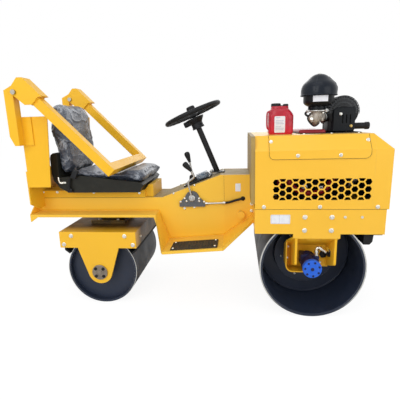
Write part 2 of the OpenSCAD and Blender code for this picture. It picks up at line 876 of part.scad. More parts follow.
module drum_bracket() {
  t = bracket_plate;
  y0 = -frame_half + frame_plate;
  z_tab = frame_bot - tab_drop;
  z_back = z_tab - 90;
  // height of the shoulder's top along Y
  slope = (z_tab + 8 - z_back) / (back_y1 - y0);
  difference() {
    union() {
      // plate bolted behind the frame's side
      block([bracket_x0 + 12, y0, z_tab - 6], [bracket_x1 - 12, y0 + t - 2, frame_bot + 100]);
      // shoulder that leads in to the back plate
      intersection() {
        yz(rim_x, bracket_x1)
          polygon([[y0, z_tab - 2], [y0, z_tab + 8], [back_y1, z_back], [back_y1, z_back - 10]]);
        linear_extrude(frame_top) polygon([
          [bracket_x0, y0], [bracket_x1, y0], [bracket_x1, back_y1], [rim_x, back_y1], [rim_x, rim_y],
          [bracket_x0, y0 + 8]
        ]);
      }
      // back plate round the motor
      xz(back_y0, back_y1) polygon(concat(
        [[rim_x, z_back - 4]], rim_path, [[bracket_x1 - 12, rim_z + 4], [bracket_x1 - 12, z_back - 4]]
      ));
      // rim along the rear and lower edges
      xz(rim_y, back_y0 + 2) polygon(strip(rim_path, -6));
      yz(rim_x, rim_x + 6) polygon([
        [rim_y, rim_z + rim_r], [rim_y, z_back - 5 + slope * (back_y1 - rim_y)], [back_y1, z_back - 5],
        [back_y1, rim_z + rim_r]
      ]);
      // ribs at the sides
      for (x = [bracket_x0 + 13, bracket_x1 - 24])
        yz(x, x + 12)
          polygon([[y0, z_tab + 3], [y0, rim_z + 83], [y0 + 14, rim_z + 72], [back_y0 + 4, rim_z + 8],
            [back_y0 + 4, z_back]]);
    }
    rod_y(drive_shaft_d + 2, 0, front_axle_z, -frame_half, 0);
    // slot in the shoulder
    block([bracket_ahead - 40, y0 + 26, z_tab - 90], [bracket_ahead + 34, y0 + 50, z_tab + 20]);
    // window for the hoses
    block([bracket_x1 - 25, back_y0 - 96, rim_z + 92], [bracket_x1 - 11, back_y0 - 12, rim_z + 132]);
  }
}

module drum_brackets() { color(paint) from_front() both_sides() drum_bracket(); }

motor_end = -frame_half + 12;
fitting_x = 33;
fitting_y = motor_end + 78;

module drive_motors() {
  color("royalblue") from_front() both_sides() {
    rod_y(motor_d, 0, front_axle_z, motor_end, motor_end + 30);
    rod_y(motor_d - 8, 0, front_axle_z, motor_end + 30, back_y0 - 12);
    rod_y(motor_d - 4, 0, front_axle_z, back_y0 - 12, back_y0);
    rod_y(drive_shaft_d, 0, front_axle_z, back_y0 - 1, -front_disc_y + drum_disc);
    block([fitting_x - 13, fitting_y - 13, front_axle_z],
      [fitting_x + 13, fitting_y + 13, front_axle_z + motor_d / 2]);
  }
}

module hose_fittings() {
  color(steel) from_front() both_sides() {
    translate([fitting_x, fitting_y, front_axle_z + motor_d / 2]) {
      cylinder(d = 22, h = 42);
      translate([0, 0, 42]) sphere(d = 24);
      translate([0, 0, 42]) rotate([0, 121, 0]) cylinder(d = 16, h = 66);
    }
  }
}

front_disc_y = front_drum_w / 2 - front_recess;

module front_drum_shell() {
  half = front_drum_w / 2;
  color([0.16, 0.17, 0.19]) from_front() difference() {
    translate([0, half, front_axle_z]) rotate([90, 0, 0])
      cylinder(d = front_drum_d, h = front_drum_w, $fn = 96);
    translate([0, half + 1, front_axle_z]) rotate([90, 0, 0])
      cylinder(d = front_drum_d - 2 * front_drum_wall, h = front_drum_w + 2, $fn = 96);
  }
}

// discs across the drum with their hubs, and the tube between them
module front_drum_discs() {
  inner_d = front_drum_d - 2 * front_drum_wall;
  hub_y = front_disc_y + front_hub_h;
  color([0.16, 0.17, 0.19]) from_front() difference() {
    union() {
      both_sides() {
        translate([0, -front_disc_y + drum_disc, front_axle_z]) rotate([90, 0, 0])
          cylinder(d = inner_d, h = drum_disc, $fn = 96);
        rod_y(front_hub_d, 0, front_axle_z, -hub_y, -front_disc_y + 2);
      }
      rod_y(drive_shaft_d + 70, 0, front_axle_z, -front_disc_y, front_disc_y);
    }
    rod_y(drive_shaft_d + 2 * fit, 0, front_axle_z, -hub_y - 1, hub_y + 1);
  }
}

module front_scraper() {
  x = front_drum_d / 2 - 26;
  color(black) from_front() {
    difference() {
      xz(-front_drum_w / 2 + 6, front_drum_w / 2 - 6) polygon([
        [x, frame_bot - 64], [x + 30, frame_bot - 64], [x + 44, frame_bot - 48], [x + 48, frame_bot - 12],
        [frame_front, frame_bot - 12], [frame_front, frame_bot], [x, frame_bot]
      ]);
      rod_y(front_drum_d + 2 * play, 0, front_axle_z, -front_drum_w, front_drum_w);
    }
  }
}

// ---------- steering and controls ----------

column_foot = [-frame_back - 214, body_top];
shaft_d = 22;

// places its children at a height along the leaning column
module on_column(height) {
  translate([column_foot[0], 0, column_foot[1]]) rotate([0, -column_lean, 0]) translate([0, 0, height])
    children();
}

module steering_column() {
  color(black) from_front() intersection() {
    on_column(-60) cylinder(d = column_d, h = column_l + 60);
    block([-wheelbase, -column_d, body_top], [0, column_d, body_top + 2 * column_l]);
  }
}

module column_head() {
  color(black) from_front() difference() {
    on_column(column_l - 42) {
      cylinder(d = 74, h = 40);
      translate([0, 0, 40]) cylinder(d1 = 74, d2 = 96, h = 26);
      translate([-76, 0, 22]) rotate([0, 90, 0]) cylinder(d = 34, h = 60);
    }
    on_column(column_l - 80) cylinder(d = column_d, h = 80);
    on_column(column_l - 1) cylinder(d = shaft_d + 2 * fit, h = 40);
  }
}

module steering_wheel() {
  rim_h = 21;
  color(black) from_front() on_column(column_l + 24 + play) {
    translate([0, 0, -24]) cylinder(d = shaft_d, h = 30);
    cylinder(d = 90, h = 10);
    cylinder(d = 50, h = 67);
    translate([0, 0, rim_h]) rotate_extrude($fn = 72) translate([wheel_d / 2 - rim_d / 2, 0])
      circle(d = rim_d, $fn = 24);
    for (turn = [90, 210, 330]) rotate([0, 0, turn])
      hull() {
        translate([18, -15, 1]) cube([2, 30, 10]);
        translate([wheel_d / 2 - rim_d, -10, rim_h - 5]) cube([12, 20, 8]);
      }
  }
}

quadrant_x = -frame_back - 357;
quadrant_z = body_top - 138;

module lever_quadrant() {
  color([0.35, 0.36, 0.38]) from_front() xz(-body_half - 14, -body_half) {
    translate([quadrant_x - 76, quadrant_z - 48]) square([152, 26]);
    polygon([
      [quadrant_x - 76, quadrant_z - 23], [quadrant_x + 76, quadrant_z - 23],
      [quadrant_x + 46, quadrant_z + 6], [quadrant_x - 46, quadrant_z + 6]
    ]);
    translate([quadrant_x, quadrant_z + 4]) circle(d = 82);
  }
}

// a rod between two points
module rod_between(a, b, d) {
  v = b - a;
  translate(a) rotate([0, acos(v[2] / norm(v)), atan2(v[1], v[0])]) cylinder(d = d, h = norm(v), $fn = 24);
}

module grip(p, lean) {
  translate(p) rotate([0, lean, 0]) {
    cylinder(d1 = 16, d2 = 33, h = 38, $fn = 32);
    translate([0, 0, 38]) sphere(d = 33, $fn = 32);
  }
}

module travel_lever() {
  y = -body_half - 22;
  bend = [quadrant_x - 16, y - 6, quadrant_z + 100];
  knee = [quadrant_x + 17, y - 14, quadrant_z + 132];
  color(black) from_front() {
    rod_y(38, quadrant_x, quadrant_z + 4, y - 8, -body_half - 14);
    rod_between([quadrant_x, y, quadrant_z + 4], bend, 11);
    translate(bend) sphere(d = 13, $fn = 24);
    rod_between(bend, knee, 11);
    translate(knee) sphere(d = 13, $fn = 24);
    rod_between(knee, [quadrant_x + 4, y - 20, quadrant_z + 174], 11);
    grip([quadrant_x + 6, y - 20, quadrant_z + 168], -42);
  }
}

// second lever on a boot that stands on the slope, with the gauge beside it
module throttle_lever() {
  incline = atan((body_top - beam_top) / (slope_front - slope_rear));
  color(black) from_front() {
    translate([slope_front - 200, 0, body_top - 200 * tan(incline)]) rotate([0, -incline, 0]) {
      block([-26, -78, fit], [150, 78, 9]);
      translate([36, -40, 8]) cylinder(d1 = 54, d2 = 26, h = 44, $fn = 32);
      translate([98, -22, 8]) cylinder(d = 66, h = 26);
    }
    rod_between([slope_front - 175, -40, body_top - 200 * tan(incline) + 44],
      [slope_front - 191, -40, body_top + 76], 11);
    grip([slope_front - 190, -40, body_top + 66], -17);
  }
}

module control_rod() {
  y = -body_half - 10;
  color(steel) from_front() {
    rod_between([quadrant_x + 76, y, quadrant_z - 30], [quadrant_x + 196, y, quadrant_z - 26], 11);
    rod_between([quadrant_x + 190, y, quadrant_z - 26], [quadrant_x + 296, y, quadrant_z - 2], 14);
    rod_y(14, quadrant_x + 296, quadrant_z - 2, y - 7, -body_half);
  }
}

// ---------- rear yoke and drum ----------

yoke_top = rear_drum_d + yoke_top_gap + yoke_plate;
yoke_half = rear_drum_w / 2 + yoke_side_gap + yoke_plate;
hub_d = 92;
king_pin_d = 60;

module yoke() {
  shoulder = 124;
  foot = 72;
  color(paint) from_front() difference() {
    translate([rear_x, 0, 0]) union() {
      block([-yoke_half_l, -yoke_half, yoke_top - yoke_plate], [yoke_half_l, yoke_half, yoke_top]);
      for (side = [-1, 1])
        block([side * (yoke_half_l - 4) - 4, -yoke_half, yoke_top - yoke_h],
          [side * (yoke_half_l - 4) + 4, yoke_half, yoke_top]);
      both_sides() {
        xz(-yoke_half, -yoke_half + yoke_plate) polygon([
          [-yoke_half_l, yoke_top], [-yoke_half_l, yoke_top - yoke_h], [-shoulder, yoke_top - yoke_h],
          [-foot * cos(20), rear_axle_z - foot * sin(20)], [foot * cos(20), rear_axle_z - foot * sin(20)],
          [shoulder, yoke_top - yoke_h], [yoke_half_l, yoke_top - yoke_h], [yoke_half_l, yoke_top]
        ]);
        rod_y(2 * foot, 0, rear_axle_z, -yoke_half, -yoke_half + yoke_plate);
      }
      // turning plate
      block([-108, -108, yoke_top - 4], [108, 108, yoke_top + 18]);
      translate([0, 0, yoke_top - 4]) cylinder(d = yoke_pivot_d, h = 44);
    }
    rod_y(rear_axle_d, rear_x, rear_axle_z, -yoke_half - 1, yoke_half + 1);
    translate([rear_x, 0, yoke_top - yoke_plate - 1]) cylinder(d = king_pin_d + 2 * fit, h = 100);
  }
}

// bearing block and king pin under the beam
module yoke_pivot() {
  color([0.3, 0.3, 0.32]) from_front() translate([rear_x, 0, 0]) {
    translate([0, 0, yoke_top + 40 + play]) cylinder(d = yoke_pivot_d + 20, h = yoke_pivot_h - 40 - play);
    translate([0, 0, yoke_top - yoke_plate]) cylinder(d = king_pin_d, h = yoke_pivot_h);
  }
}

module yoke_hubs() {
  color(steel) from_front() both_sides() {
    rod_y(hub_d, rear_x, rear_axle_z, -yoke_half - 8, -yoke_half);
    rod_y(rear_axle_d, rear_x, rear_axle_z, -yoke_half, -rear_drum_w / 2 + rear_recess + drum_disc);
  }
}

module rear_drum_shell() {
  half = rear_drum_w / 2;
  color([0.18, 0.20, 0.22]) from_front() translate([rear_x, 0, rear_axle_z]) rotate([90, 0, 0])
    difference() {
    cylinder(d = rear_drum_d, h = 2 * half, center = true, $fn = 96);
    cylinder(d = rear_drum_d - 2 * rear_drum_wall, h = 2 * half + 2, center = true, $fn = 96);
  }
}

module rear_drum_discs() {
  disc_y = rear_drum_w / 2 - rear_recess;
  color([0.18, 0.20, 0.22]) from_front() both_sides()
    translate([rear_x, -disc_y + drum_disc, rear_axle_z]) rotate([90, 0, 0]) difference() {
      cylinder(d = rear_drum_d - 2 * rear_drum_wall, h = drum_disc, $fn = 96);
      translate([0, 0, -1]) cylinder(d = rear_axle_d + 2 * fit, h = drum_disc + 2);
    }
}

// blades held by the yoke's end plates
module rear_scrapers() {
  half = rear_drum_w / 2 + 5;
  x = yoke_half_l - 8;
  z = yoke_top - yoke_h;
  color(black) from_front() translate([rear_x, 0, 0]) difference() {
    for (turn = [0, 180]) rotate([0, 0, turn]) xz(-half, half) polygon([
      [x, z + 22], [x, z - 26], [x - 60, z - 77], [x - 66, z - 70], [x - 10, z - 21], [x - 10, z + 22]
    ]);
    rod_y(rear_drum_d + 2 * play, 0, rear_axle_z, -rear_drum_w, rear_drum_w);
  }
}

side_plates();
body_cover();
belly_plate();
rear_cross_plate();
step_treads();
seat_tray();
seat_shell();
seat_cushion();
seat_backrest();
belt_buckle();
rops_columns();
rops_posts();
rops_pins();
rops_hoop();
frame_sides();
frame_cross_plates();
engine_deck();
engine_block();
fuel_tank();
hood_sides();
hood_front_panel();
hood_top_panel();
hood_rear_panel();
access_panels();
coolant_bottle();
air_cleaner();
intake_elbow();
muffler();
tail_pipe();
drum_brackets();
drive_motors();
hose_fittings();
front_drum_shell();
front_drum_discs();
front_scraper();
steering_column();
column_head();
steering_wheel();
lever_quadrant();
travel_lever();
throttle_lever();
control_rod();
yoke();
yoke_pivot();
yoke_hubs();
rear_drum_shell();
rear_drum_discs();
rear_scrapers();
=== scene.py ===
"""Looks of the ride-on roller: camera, light, floor, materials and the detailed pieces on the CAD frame."""

import json
import math
import random

import bmesh
import bpy
from mathutils import Matrix, Vector, noise


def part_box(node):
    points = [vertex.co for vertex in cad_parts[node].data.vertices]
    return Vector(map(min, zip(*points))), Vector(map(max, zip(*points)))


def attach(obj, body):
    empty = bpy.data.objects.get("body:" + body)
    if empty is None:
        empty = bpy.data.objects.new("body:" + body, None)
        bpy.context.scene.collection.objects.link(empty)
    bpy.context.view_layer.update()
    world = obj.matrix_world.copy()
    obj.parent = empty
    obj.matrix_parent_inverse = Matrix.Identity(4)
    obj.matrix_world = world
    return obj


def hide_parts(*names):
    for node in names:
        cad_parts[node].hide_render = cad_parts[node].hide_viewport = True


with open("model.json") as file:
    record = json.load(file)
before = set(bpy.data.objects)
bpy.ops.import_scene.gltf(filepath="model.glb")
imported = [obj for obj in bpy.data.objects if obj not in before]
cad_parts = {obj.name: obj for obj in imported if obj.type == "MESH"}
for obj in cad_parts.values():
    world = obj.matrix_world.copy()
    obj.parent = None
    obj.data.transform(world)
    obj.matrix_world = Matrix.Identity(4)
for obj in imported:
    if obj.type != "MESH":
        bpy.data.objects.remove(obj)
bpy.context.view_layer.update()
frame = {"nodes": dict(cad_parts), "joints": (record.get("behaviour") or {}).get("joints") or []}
scene = bpy.context.scene
scene.view_settings.view_transform = "Standard"
rng = random.Random(7)


def mid(name):
    low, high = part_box(name)
    return (low + high) / 2


# the drums' axles, in metres
FRONT = mid("front_drum_shell")
REAR = mid("rear_drum_shell")


# ---------- node helpers ----------

def put(tree, value, socket):
    """Links a socket's result to an input, or sets the input to a value."""
    if isinstance(value, bpy.types.NodeSocket):
        tree.links.new(value, socket)
    else:
        socket.default_value = value


def node(tree, kind, *values, **props):
    """A new node with its first inputs filled."""
    made = tree.nodes.new(kind)
    for key, value in props.items():
        setattr(made, key, value)
    for value, socket in zip(values, made.inputs):
        put(tree, value, socket)
    return made


# ---------- camera, light and floor ----------

def make_camera():
    yaw, pitch, roll = 0.1128, 0.2179, 0.0285
    ahead = Vector((-math.sin(yaw) * math.cos(pitch), math.cos(yaw) * math.cos(pitch), -math.sin(pitch)))
    side = Vector((math.cos(yaw), math.sin(yaw), 0))
    down = ahead.cross(side)
    right = side * math.cos(roll) + down * math.sin(roll)
    up = side * math.sin(roll) - down * math.cos(roll)
    data = bpy.data.cameras.new("camera")
    data.sensor_width = 36
    data.lens = 31.4
    cam = bpy.data.objects.new("camera", data)
    turn = Matrix((right, up, -ahead)).transposed()
    cam.matrix_world = Matrix.Translation((FRONT.x - 0.391, -2.148, 1.062)) @ turn.to_4x4()
    scene.collection.objects.link(cam)
    scene.camera = cam


def make_light():
    """Four soft lamps, and a world that is white where it is seen and dimmer where it lights."""
    dim, white = 0.62, 1.0
    world = bpy.data.worlds.new("studio")
    scene.world = world
    world.use_nodes = True
    tree = world.node_tree
    path = node(tree, "ShaderNodeLightPath")
    seen = path.outputs["Is Camera Ray"]
    for ray in ("Is Glossy Ray", "Is Transmission Ray"):
        seen = node(tree, "ShaderNodeMath", seen, path.outputs[ray], operation="MAXIMUM").outputs[0]
    level = node(tree, "ShaderNodeMapRange", seen, 0, 1, dim, white)
    back = tree.nodes["Background"]
    put(tree, (1, 1, 1, 1), back.inputs["Color"])
    put(tree, level.outputs["Result"], back.inputs["Strength"])
    for name, at, size, power in (
        ("key", (-1.6, -3.6, 2.6), 2.6, 53),
        ("fill", (2.8, -2.6, 1.6), 2.2, 20),
        ("back", (0.6, 3.4, 2.6), 2.6, 24),
        ("top", (0.0, -1.3, 3.6), 2.4, 14),
    ):
        data = bpy.data.lights.new(name, "AREA")
        data.size = size
        data.energy = power
        lamp = bpy.data.objects.new(name, data)
        lamp.location = at
        lamp.rotation_euler = (Vector((0, 0, 0.6)) - Vector(at)).to_track_quat("-Z", "Y").to_euler()
        scene.collection.objects.link(lamp)


def make_floor():
    """A pale floor that takes shadows and, where the camera sees it, glows into the white around it."""
    reach, pale, glow, glow_share = 30, 0.82, 1.125, 0.80
    mesh = bpy.data.meshes.new("floor")
    spots = [(-reach, -reach, 0), (reach, -reach, 0), (reach, reach, 0), (-reach, reach, 0)]
    mesh.from_pydata(spots, [], [(0, 1, 2, 3)])
    floor = bpy.data.objects.new("floor", mesh)
    scene.collection.objects.link(floor)
    mat = bpy.data.materials.new("floor")
    mat.use_nodes = True
    tree = mat.node_tree
    tree.nodes.clear()
    matt = node(tree, "ShaderNodeBsdfDiffuse", (pale, pale, pale, 1))
    white = node(tree, "ShaderNodeEmission", (1, 1, 1, 1), glow)
    seen = node(tree, "ShaderNodeLightPath").outputs["Is Camera Ray"]
    share = node(tree, "ShaderNodeMath", seen, glow_share, operation="MULTIPLY")
    mix = node(tree, "ShaderNodeMixShader", share.outputs[0], matt.outputs[0], white.outputs[0])
    node(tree, "ShaderNodeOutputMaterial", mix.outputs[0])
    mesh.materials.append(mat)


make_camera()
make_light()
make_floor()


# ---------- materials ----------

def srgb(r, g, b):
    """A colour from its 0-255 values, as linear numbers."""
    def linear(v):
        return v / 12.92 if v <= 0.04045 else ((v + 0.055) / 1.055) ** 2.4
    return (linear(r / 255), linear(g / 255), linear(b / 255), 1)


class Mat:
    """A node material; its helpers return the socket that holds their result."""

    def __init__(self, name, color, rough, metal=0.0, **sockets):
        self.mat = bpy.data.materials.new(name)
        self.mat.use_nodes = True
        self.mat.diffuse_color = color
        self.tree = self.mat.node_tree
        self.bsdf = self.tree.nodes["Principled BSDF"]
        self.coords = node(self.tree, "ShaderNodeTexCoord")
        self.use(Base_Color=color, Roughness=rough, Metallic=metal, **sockets)

    def use(self, **sockets):
        for key, value in sockets.items():
            put(self.tree, value, self.bsdf.inputs[key.replace("_", " ")])
        return self.mat

    def place(self, axis, of="Object"):
        """One axis of where a point is, or of its normal."""
        return node(self.tree, "ShaderNodeSeparateXYZ", self.coords.outputs[of]).outputs[axis]

    def noise(self, scale, detail=3.0, rough=0.55, stretch=(1, 1, 1), warp=0.0):
        mapped = node(self.tree, "ShaderNodeMapping", self.coords.outputs["Object"])
        mapped.inputs["Scale"].default_value = stretch
        made = node(self.tree, "ShaderNodeTexNoise", mapped.outputs["Vector"])
        for key, value in (("Scale", scale), ("Detail", detail), ("Roughness", rough), ("Distortion", warp)):
            made.inputs[key].default_value = value
        return made.outputs["Fac"]

    def range(self, value, low, high, to_low=0.0, to_high=1.0, kind="LINEAR"):
        values = (value, low, high, to_low, to_high)
        made = node(self.tree, "ShaderNodeMapRange", *values, interpolation_type=kind)
        return made.outputs["Result"]

    def step(self, value, low, high):
        """0 below low, 1 above high."""
        return self.range(value, low, high, kind="SMOOTHSTEP")

    def spots(self, low, high, *how, **more):
        """1 where noise is above high, 0 where it is below low."""
        return self.step(self.noise(*how, **more), low, high)

    def vary(self, to_low, to_high, *how, low=0.3, high=0.7):
        """Noise between low and high, spread over another range."""
        return self.range(self.noise(*how), low, high, to_low, to_high)

    def math(self, kind, a, b=0.0, clamp=False):
        return node(self.tree, "ShaderNodeMath", a, b, operation=kind, use_clamp=clamp).outputs[0]

    def times(self, a, b):
        return self.math("MULTIPLY", a, b, clamp=True)

    def mix(self, share, a, b):
        made = node(self.tree, "ShaderNodeMix", share, data_type="RGBA")
        put(self.tree, a, made.inputs[6])
        put(self.tree, b, made.inputs[7])
        return made.outputs[2]

    def tint(self, base, color, mask, share):
        """The base with a share of a colour where the mask is 1."""
        return self.mix(self.times(mask, share), base, color)

    def edges(self, radius):
        """The normal with rounded edges, and a mask of the edges."""
        bevel = node(self.tree, "ShaderNodeBevel", radius, samples=4).outputs[0]
        normal = node(self.tree, "ShaderNodeNewGeometry").outputs["Normal"]
        dot = node(self.tree, "ShaderNodeVectorMath", bevel, normal, operation="DOT_PRODUCT")
        return bevel, self.range(dot.outputs["Value"], 0.97, 0.80)

    def bump(self, height, strength, distance, normal=None):
        made = node(self.tree, "ShaderNodeBump", strength, distance)
        put(self.tree, height, made.inputs["Height"])
        if normal is not None:
            put(self.tree, normal, made.inputs["Normal"])
        return made.outputs[0]


MATS = {}


def paint(key, name, color, dark, wear_and_highlight, rough=0.36, dust_and_shade=None, dust_and_shade_share=0.5, edge=0.0022, peel=0.10,
          extra=None, shine=0.42):
    """Sprayed paint on plate: slow colour drift, orange peel, edges paled by wear and painted highlight, and
    a tint on what faces up that is dust and painted shade.
    """
    color, dark, wear_and_highlight = srgb(*color), srgb(*dark), srgb(*wear_and_highlight)
    m = Mat(name, color, rough, Specular_IOR_Level=shine)
    normal, rim = m.edges(edge)
    base = m.tint(color, dark, m.spots(0.35, 0.75, 2.6, 4), 0.35)
    base = m.tint(base, dark, m.spots(0.55, 0.85, 34, 5, 0.7), 0.10)
    if extra:
        base = extra(m, base)
    # what faces up takes a tint: paler dust on the dark finishes, and on the yellow ones a darker tint that
    # is painted shade on the tops
    if dust_and_shade:
        facing_up = m.step(m.place(2, "Normal"), 0.80, 0.98)
        base = m.tint(base, srgb(*dust_and_shade), facing_up, m.vary(dust_and_shade_share * 0.75, dust_and_shade_share, 7, 5, 0.65))
    # paler edges: wear, and painted highlight where the edges catch the light
    base = m.tint(base, wear_and_highlight, rim, m.vary(0.25, 0.85, 60, 4, 0.7, low=0.35, high=0.65))
    MATS[key] = m.use(
        Base_Color=base,
        Roughness=m.vary(rough - 0.06, rough + 0.10, 9, 4, 0.6),
        Normal=m.bump(m.noise(420, 2, 0.5), peel, 0.0006, normal),
    )


def bend_painted_shade(m, base):
    """Painted shade: the side plates' front lengths, past their bend, are darker and warmer where the bent
    plate turns from the light.
    """
    ahead = m.step(m.place(0), FRONT.x - 0.476, FRONT.x - 0.473)
    return m.tint(base, srgb(246, 184, 50), ahead, 0.25)


def yoke_painted_shade(m, base):
    """Painted shade over the middle of the yoke: dark olive on its top and ends, where the beam and the drums
    shade them.
    """
    y = m.math("ABSOLUTE", m.place(1))
    flank = m.math("ABSOLUTE", m.place(1, "Normal"))
    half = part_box("yoke")[1].y
    inside = m.range(y, half * 0.6, half, 1.0, 0.15)
    outer_face = m.times(m.step(flank, 0.5, 0.9), m.step(y, half - 0.040, half - 0.030))
    share = m.times(inside, m.math("SUBTRACT", 1.0, outer_face))
    return m.tint(base, srgb(44, 36, 20), share, m.vary(0.85, 1.0, 14, 5, 0.6))


YELLOW, AMBER, PALE = (250, 193, 42), (240, 179, 34), (254, 216, 112)
paint("yellow", "yellow_paint", YELLOW, AMBER, PALE, dust_and_shade=(172, 140, 34), dust_and_shade_share=0.55, shine=0.26)
paint("web", "yellow_paint_plates", (252, 200, 62), (247, 191, 52), PALE, dust_and_shade=(214, 174, 84),
      extra=bend_painted_shade)
paint("hood", "yellow_paint_hood", (251, 195, 57), (247, 187, 48), PALE, 0.33, (200, 170, 100), 0.35)
paint("yoke", "yellow_paint_yoke", YELLOW, AMBER, PALE, extra=yoke_painted_shade)
# painted shade: the body cover and the hood's rear panel in a darkened khaki yellow, with darker tops still
paint("khaki_painted_shade", "yellow_paint_khaki_painted_shade", (170, 142, 78), (128, 112, 74), (200, 180, 120), 0.5,
      (128, 112, 72), 0.7)
# painted shade: the belly plate under the beam in a darker orange, with near-black tops
paint("under", "yellow_paint_under_painted_shade", (226, 158, 34), (178, 124, 30), PALE, 0.5, (60, 50, 34), 0.75)
paint("black", "black_paint", (27, 28, 30), (20, 20, 22), (80, 80, 80), 0.42, (58, 56, 50), 0.3, shine=0.25)
paint("engine", "engine_paint", (18, 16, 14), (12, 11, 10), (58, 52, 46), 0.6, (40, 34, 26), 0.4, shine=0.15)
paint("muffler", "heatproof_black", (27, 28, 31), (19, 20, 22), (84, 84, 86), 0.44, (56, 54, 50), 0.3,
      shine=0.25)
paint("red", "red_paint", (166, 22, 40), (122, 14, 30), (205, 90, 90), 0.34, (120, 60, 60), 0.3)
paint("quadrant", "grey_paint", (92, 95, 99), (70, 73, 77), (150, 150, 150), 0.46)
paint("blue", "blue_paint", (30, 104, 228), (22, 80, 190), (90, 150, 245), 0.34)
# painted shade: the motor bodies and their screws in a darkened copy of the motor's blue
paint("painted_shade_blue", "blue_paint_painted_shade", (24, 32, 84), (16, 20, 52), (60, 70, 120), 0.4)
paint("lid", "slate_lid", (17, 25, 36), (13, 19, 28), (64, 72, 84), 0.22, edge=0.0012, peel=0.04, shine=0.22)
paint("slate", "slate_plastic", (22, 24, 28), (16, 18, 22), (70, 74, 80), 0.34, edge=0.0012, peel=0.06,
      shine=0.2)
paint("guard", "perforated_guard", (64, 68, 73), (48, 51, 55), (150, 152, 154), 0.5, edge=0.0005)
paint("cover", "cover_plate", (27, 31, 36), (20, 23, 27), (80, 83, 86), 0.40, shine=0.2)


def metal(key, name, color, dark, rough, grain=0.25):
    """Bare or plated metal with faint stains and a fine grain."""
    color = srgb(*color)
    m = Mat(name, color, rough, 1.0)
    MATS[key] = m.use(
        Base_Color=m.tint(color, srgb(*dark), m.spots(0.45, 0.75, 38, 5, 0.7), 0.5),
        Roughness=m.vary(rough - 0.08, rough + 0.14, 90, 3),
        Normal=m.bump(m.noise(260, 3, 0.6), grain, 0.0004, m.edges(0.0006)[0]),
    )


metal("zinc", "zinc_plate", (236, 235, 228), (178, 174, 156), 0.26)
metal("pin", "pin_steel", (168, 164, 154), (110, 106, 98), 0.4)
metal("steel", "bright_steel", (196, 196, 194), (128, 124, 118), 0.32)
metal("cast", "cast_aluminium", (186, 180, 172), (140, 130, 120), 0.62, grain=0.9)
metal("hub_steel", "hub_steel", (150, 140, 128), (104, 94, 84), 0.42, grain=0.6)
metal("brass", "brass", (206, 178, 110), (150, 120, 60), 0.35)


def rubber(key, name, color, wear_and_highlight, rough, grain, strength):
    """Rubber or moulded plastic: grey bloom in patches, pale edges and a fine grain."""
    color = srgb(*color)
    m = Mat(name, color, rough, Specular_IOR_Level=0.24)
    normal, rim = m.edges(0.0012)
    bloom = tuple(c * 1.9 + 0.004 for c in color[:3]) + (1,)
    base = m.tint(color, bloom, m.spots(0.4, 0.8, 18, 5, 0.7), 0.5)
    MATS[key] = m.use(
        # pale edges: wear and painted highlight
        Base_Color=m.tint(base, srgb(*wear_and_highlight), rim, 0.5),
        Roughness=m.vary(rough - 0.08, rough + 0.08, 40, 4),
        Normal=m.bump(m.noise(grain, 3, 0.6), strength, 0.0005, normal),
    )


rubber("rubber", "black_rubber", (30, 30, 31), (80, 80, 80), 0.66, 300, 0.3)
rubber("plastic", "black_plastic", (26, 27, 30), (90, 92, 96), 0.42, 700, 0.22)
rubber("shell", "seat_shell_plastic", (34, 34, 29), (96, 96, 92), 0.46, 520, 0.35)
rubber("tread", "tread_rubber", (52, 49, 45), (110, 106, 98), 0.6, 160, 0.6)
rubber("hose", "hose_rubber", (26, 26, 28), (80, 80, 80), 0.5, 500, 0.2)
rubber("grip", "grip_rubber", (23, 24, 26), (70, 70, 72), 0.5, 900, 0.25)


def drum_steel(key, shell, line):
    """Painted drum steel, rubbed bright along the rims and scuffed along its rolling face; the rims' bright
    steel fades out towards the bottom as painted shade.
    """
    low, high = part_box(shell)
    radius, axle = (high.z - low.z) / 2, mid(shell)
    color, bare = srgb(36, 45, 64), srgb(214, 214, 208)
    m = Mat(key + "_steel", color, 0.42, Specular_IOR_Level=0.5)
    normal, rim = m.edges(0.0016)
    y = m.math("ABSOLUTE", m.place(1))
    x = m.math("SUBTRACT", m.place(0), axle.x)
    z = m.math("SUBTRACT", m.place(2), axle.z)
    r = m.math("SQRT", m.math("ADD", m.math("MULTIPLY", x, x), m.math("MULTIPLY", z, z)))
    outside = m.step(r, radius - 0.002, radius - 0.0005)
    end = m.step(y, high.y - 0.0012, high.y - 0.0004)
    line_ring = m.step(r, radius - line, radius - line + 0.001)
    # painted shade: the rims' bare steel fades out towards the bottom
    clear_of_painted_shade = m.step(z, -0.92 * radius, -0.45 * radius)
    base = m.tint(color, srgb(28, 36, 52), m.spots(0.4, 0.75, 5, 5, 0.6), 0.6)
    marks = m.times(m.spots(0.52, 0.78, 26, 6, 0.75, (1, 0.35, 1)), 0.55)
    base = m.tint(base, srgb(76, 80, 80), outside, marks)
    base = m.tint(base, srgb(62, 66, 62), outside, 0.30)
    ring = m.times(m.times(end, line_ring), m.vary(0.65, 1.0, 48, 4, 0.7))
    base = m.tint(base, bare, ring, clear_of_painted_shade)
    base = m.tint(base, bare, m.times(rim, clear_of_painted_shade), 0.55)
    MATS[key] = m.use(
        Base_Color=base,
        Roughness=m.vary(0.34, 0.56, 12, 5),
        Normal=m.bump(m.noise(120, 4, 0.6), 0.18, 0.0006, normal),
    )


drum_steel("front_drum", "front_drum_shell", 0.007)
drum_steel("rear_drum", "rear_drum_shell", 0.004)


def red_plastic():
    m = Mat("red_plastic", srgb(206, 26, 52), 0.33, Specular_IOR_Level=0.5, Subsurface_Weight=0.12,
            Subsurface_Scale=0.01, Subsurface_Radius=(1.0, 0.2, 0.15))
    base = m.mix(m.spots(0.35, 0.7, 7, 4), srgb(214, 30, 58), srgb(176, 20, 44))
    normal = m.bump(m.noise(160, 3), 0.12, 0.0008)
    return m.use(Base_Color=base, Roughness=m.vary(0.27, 0.4, 30, 3), Normal=normal)


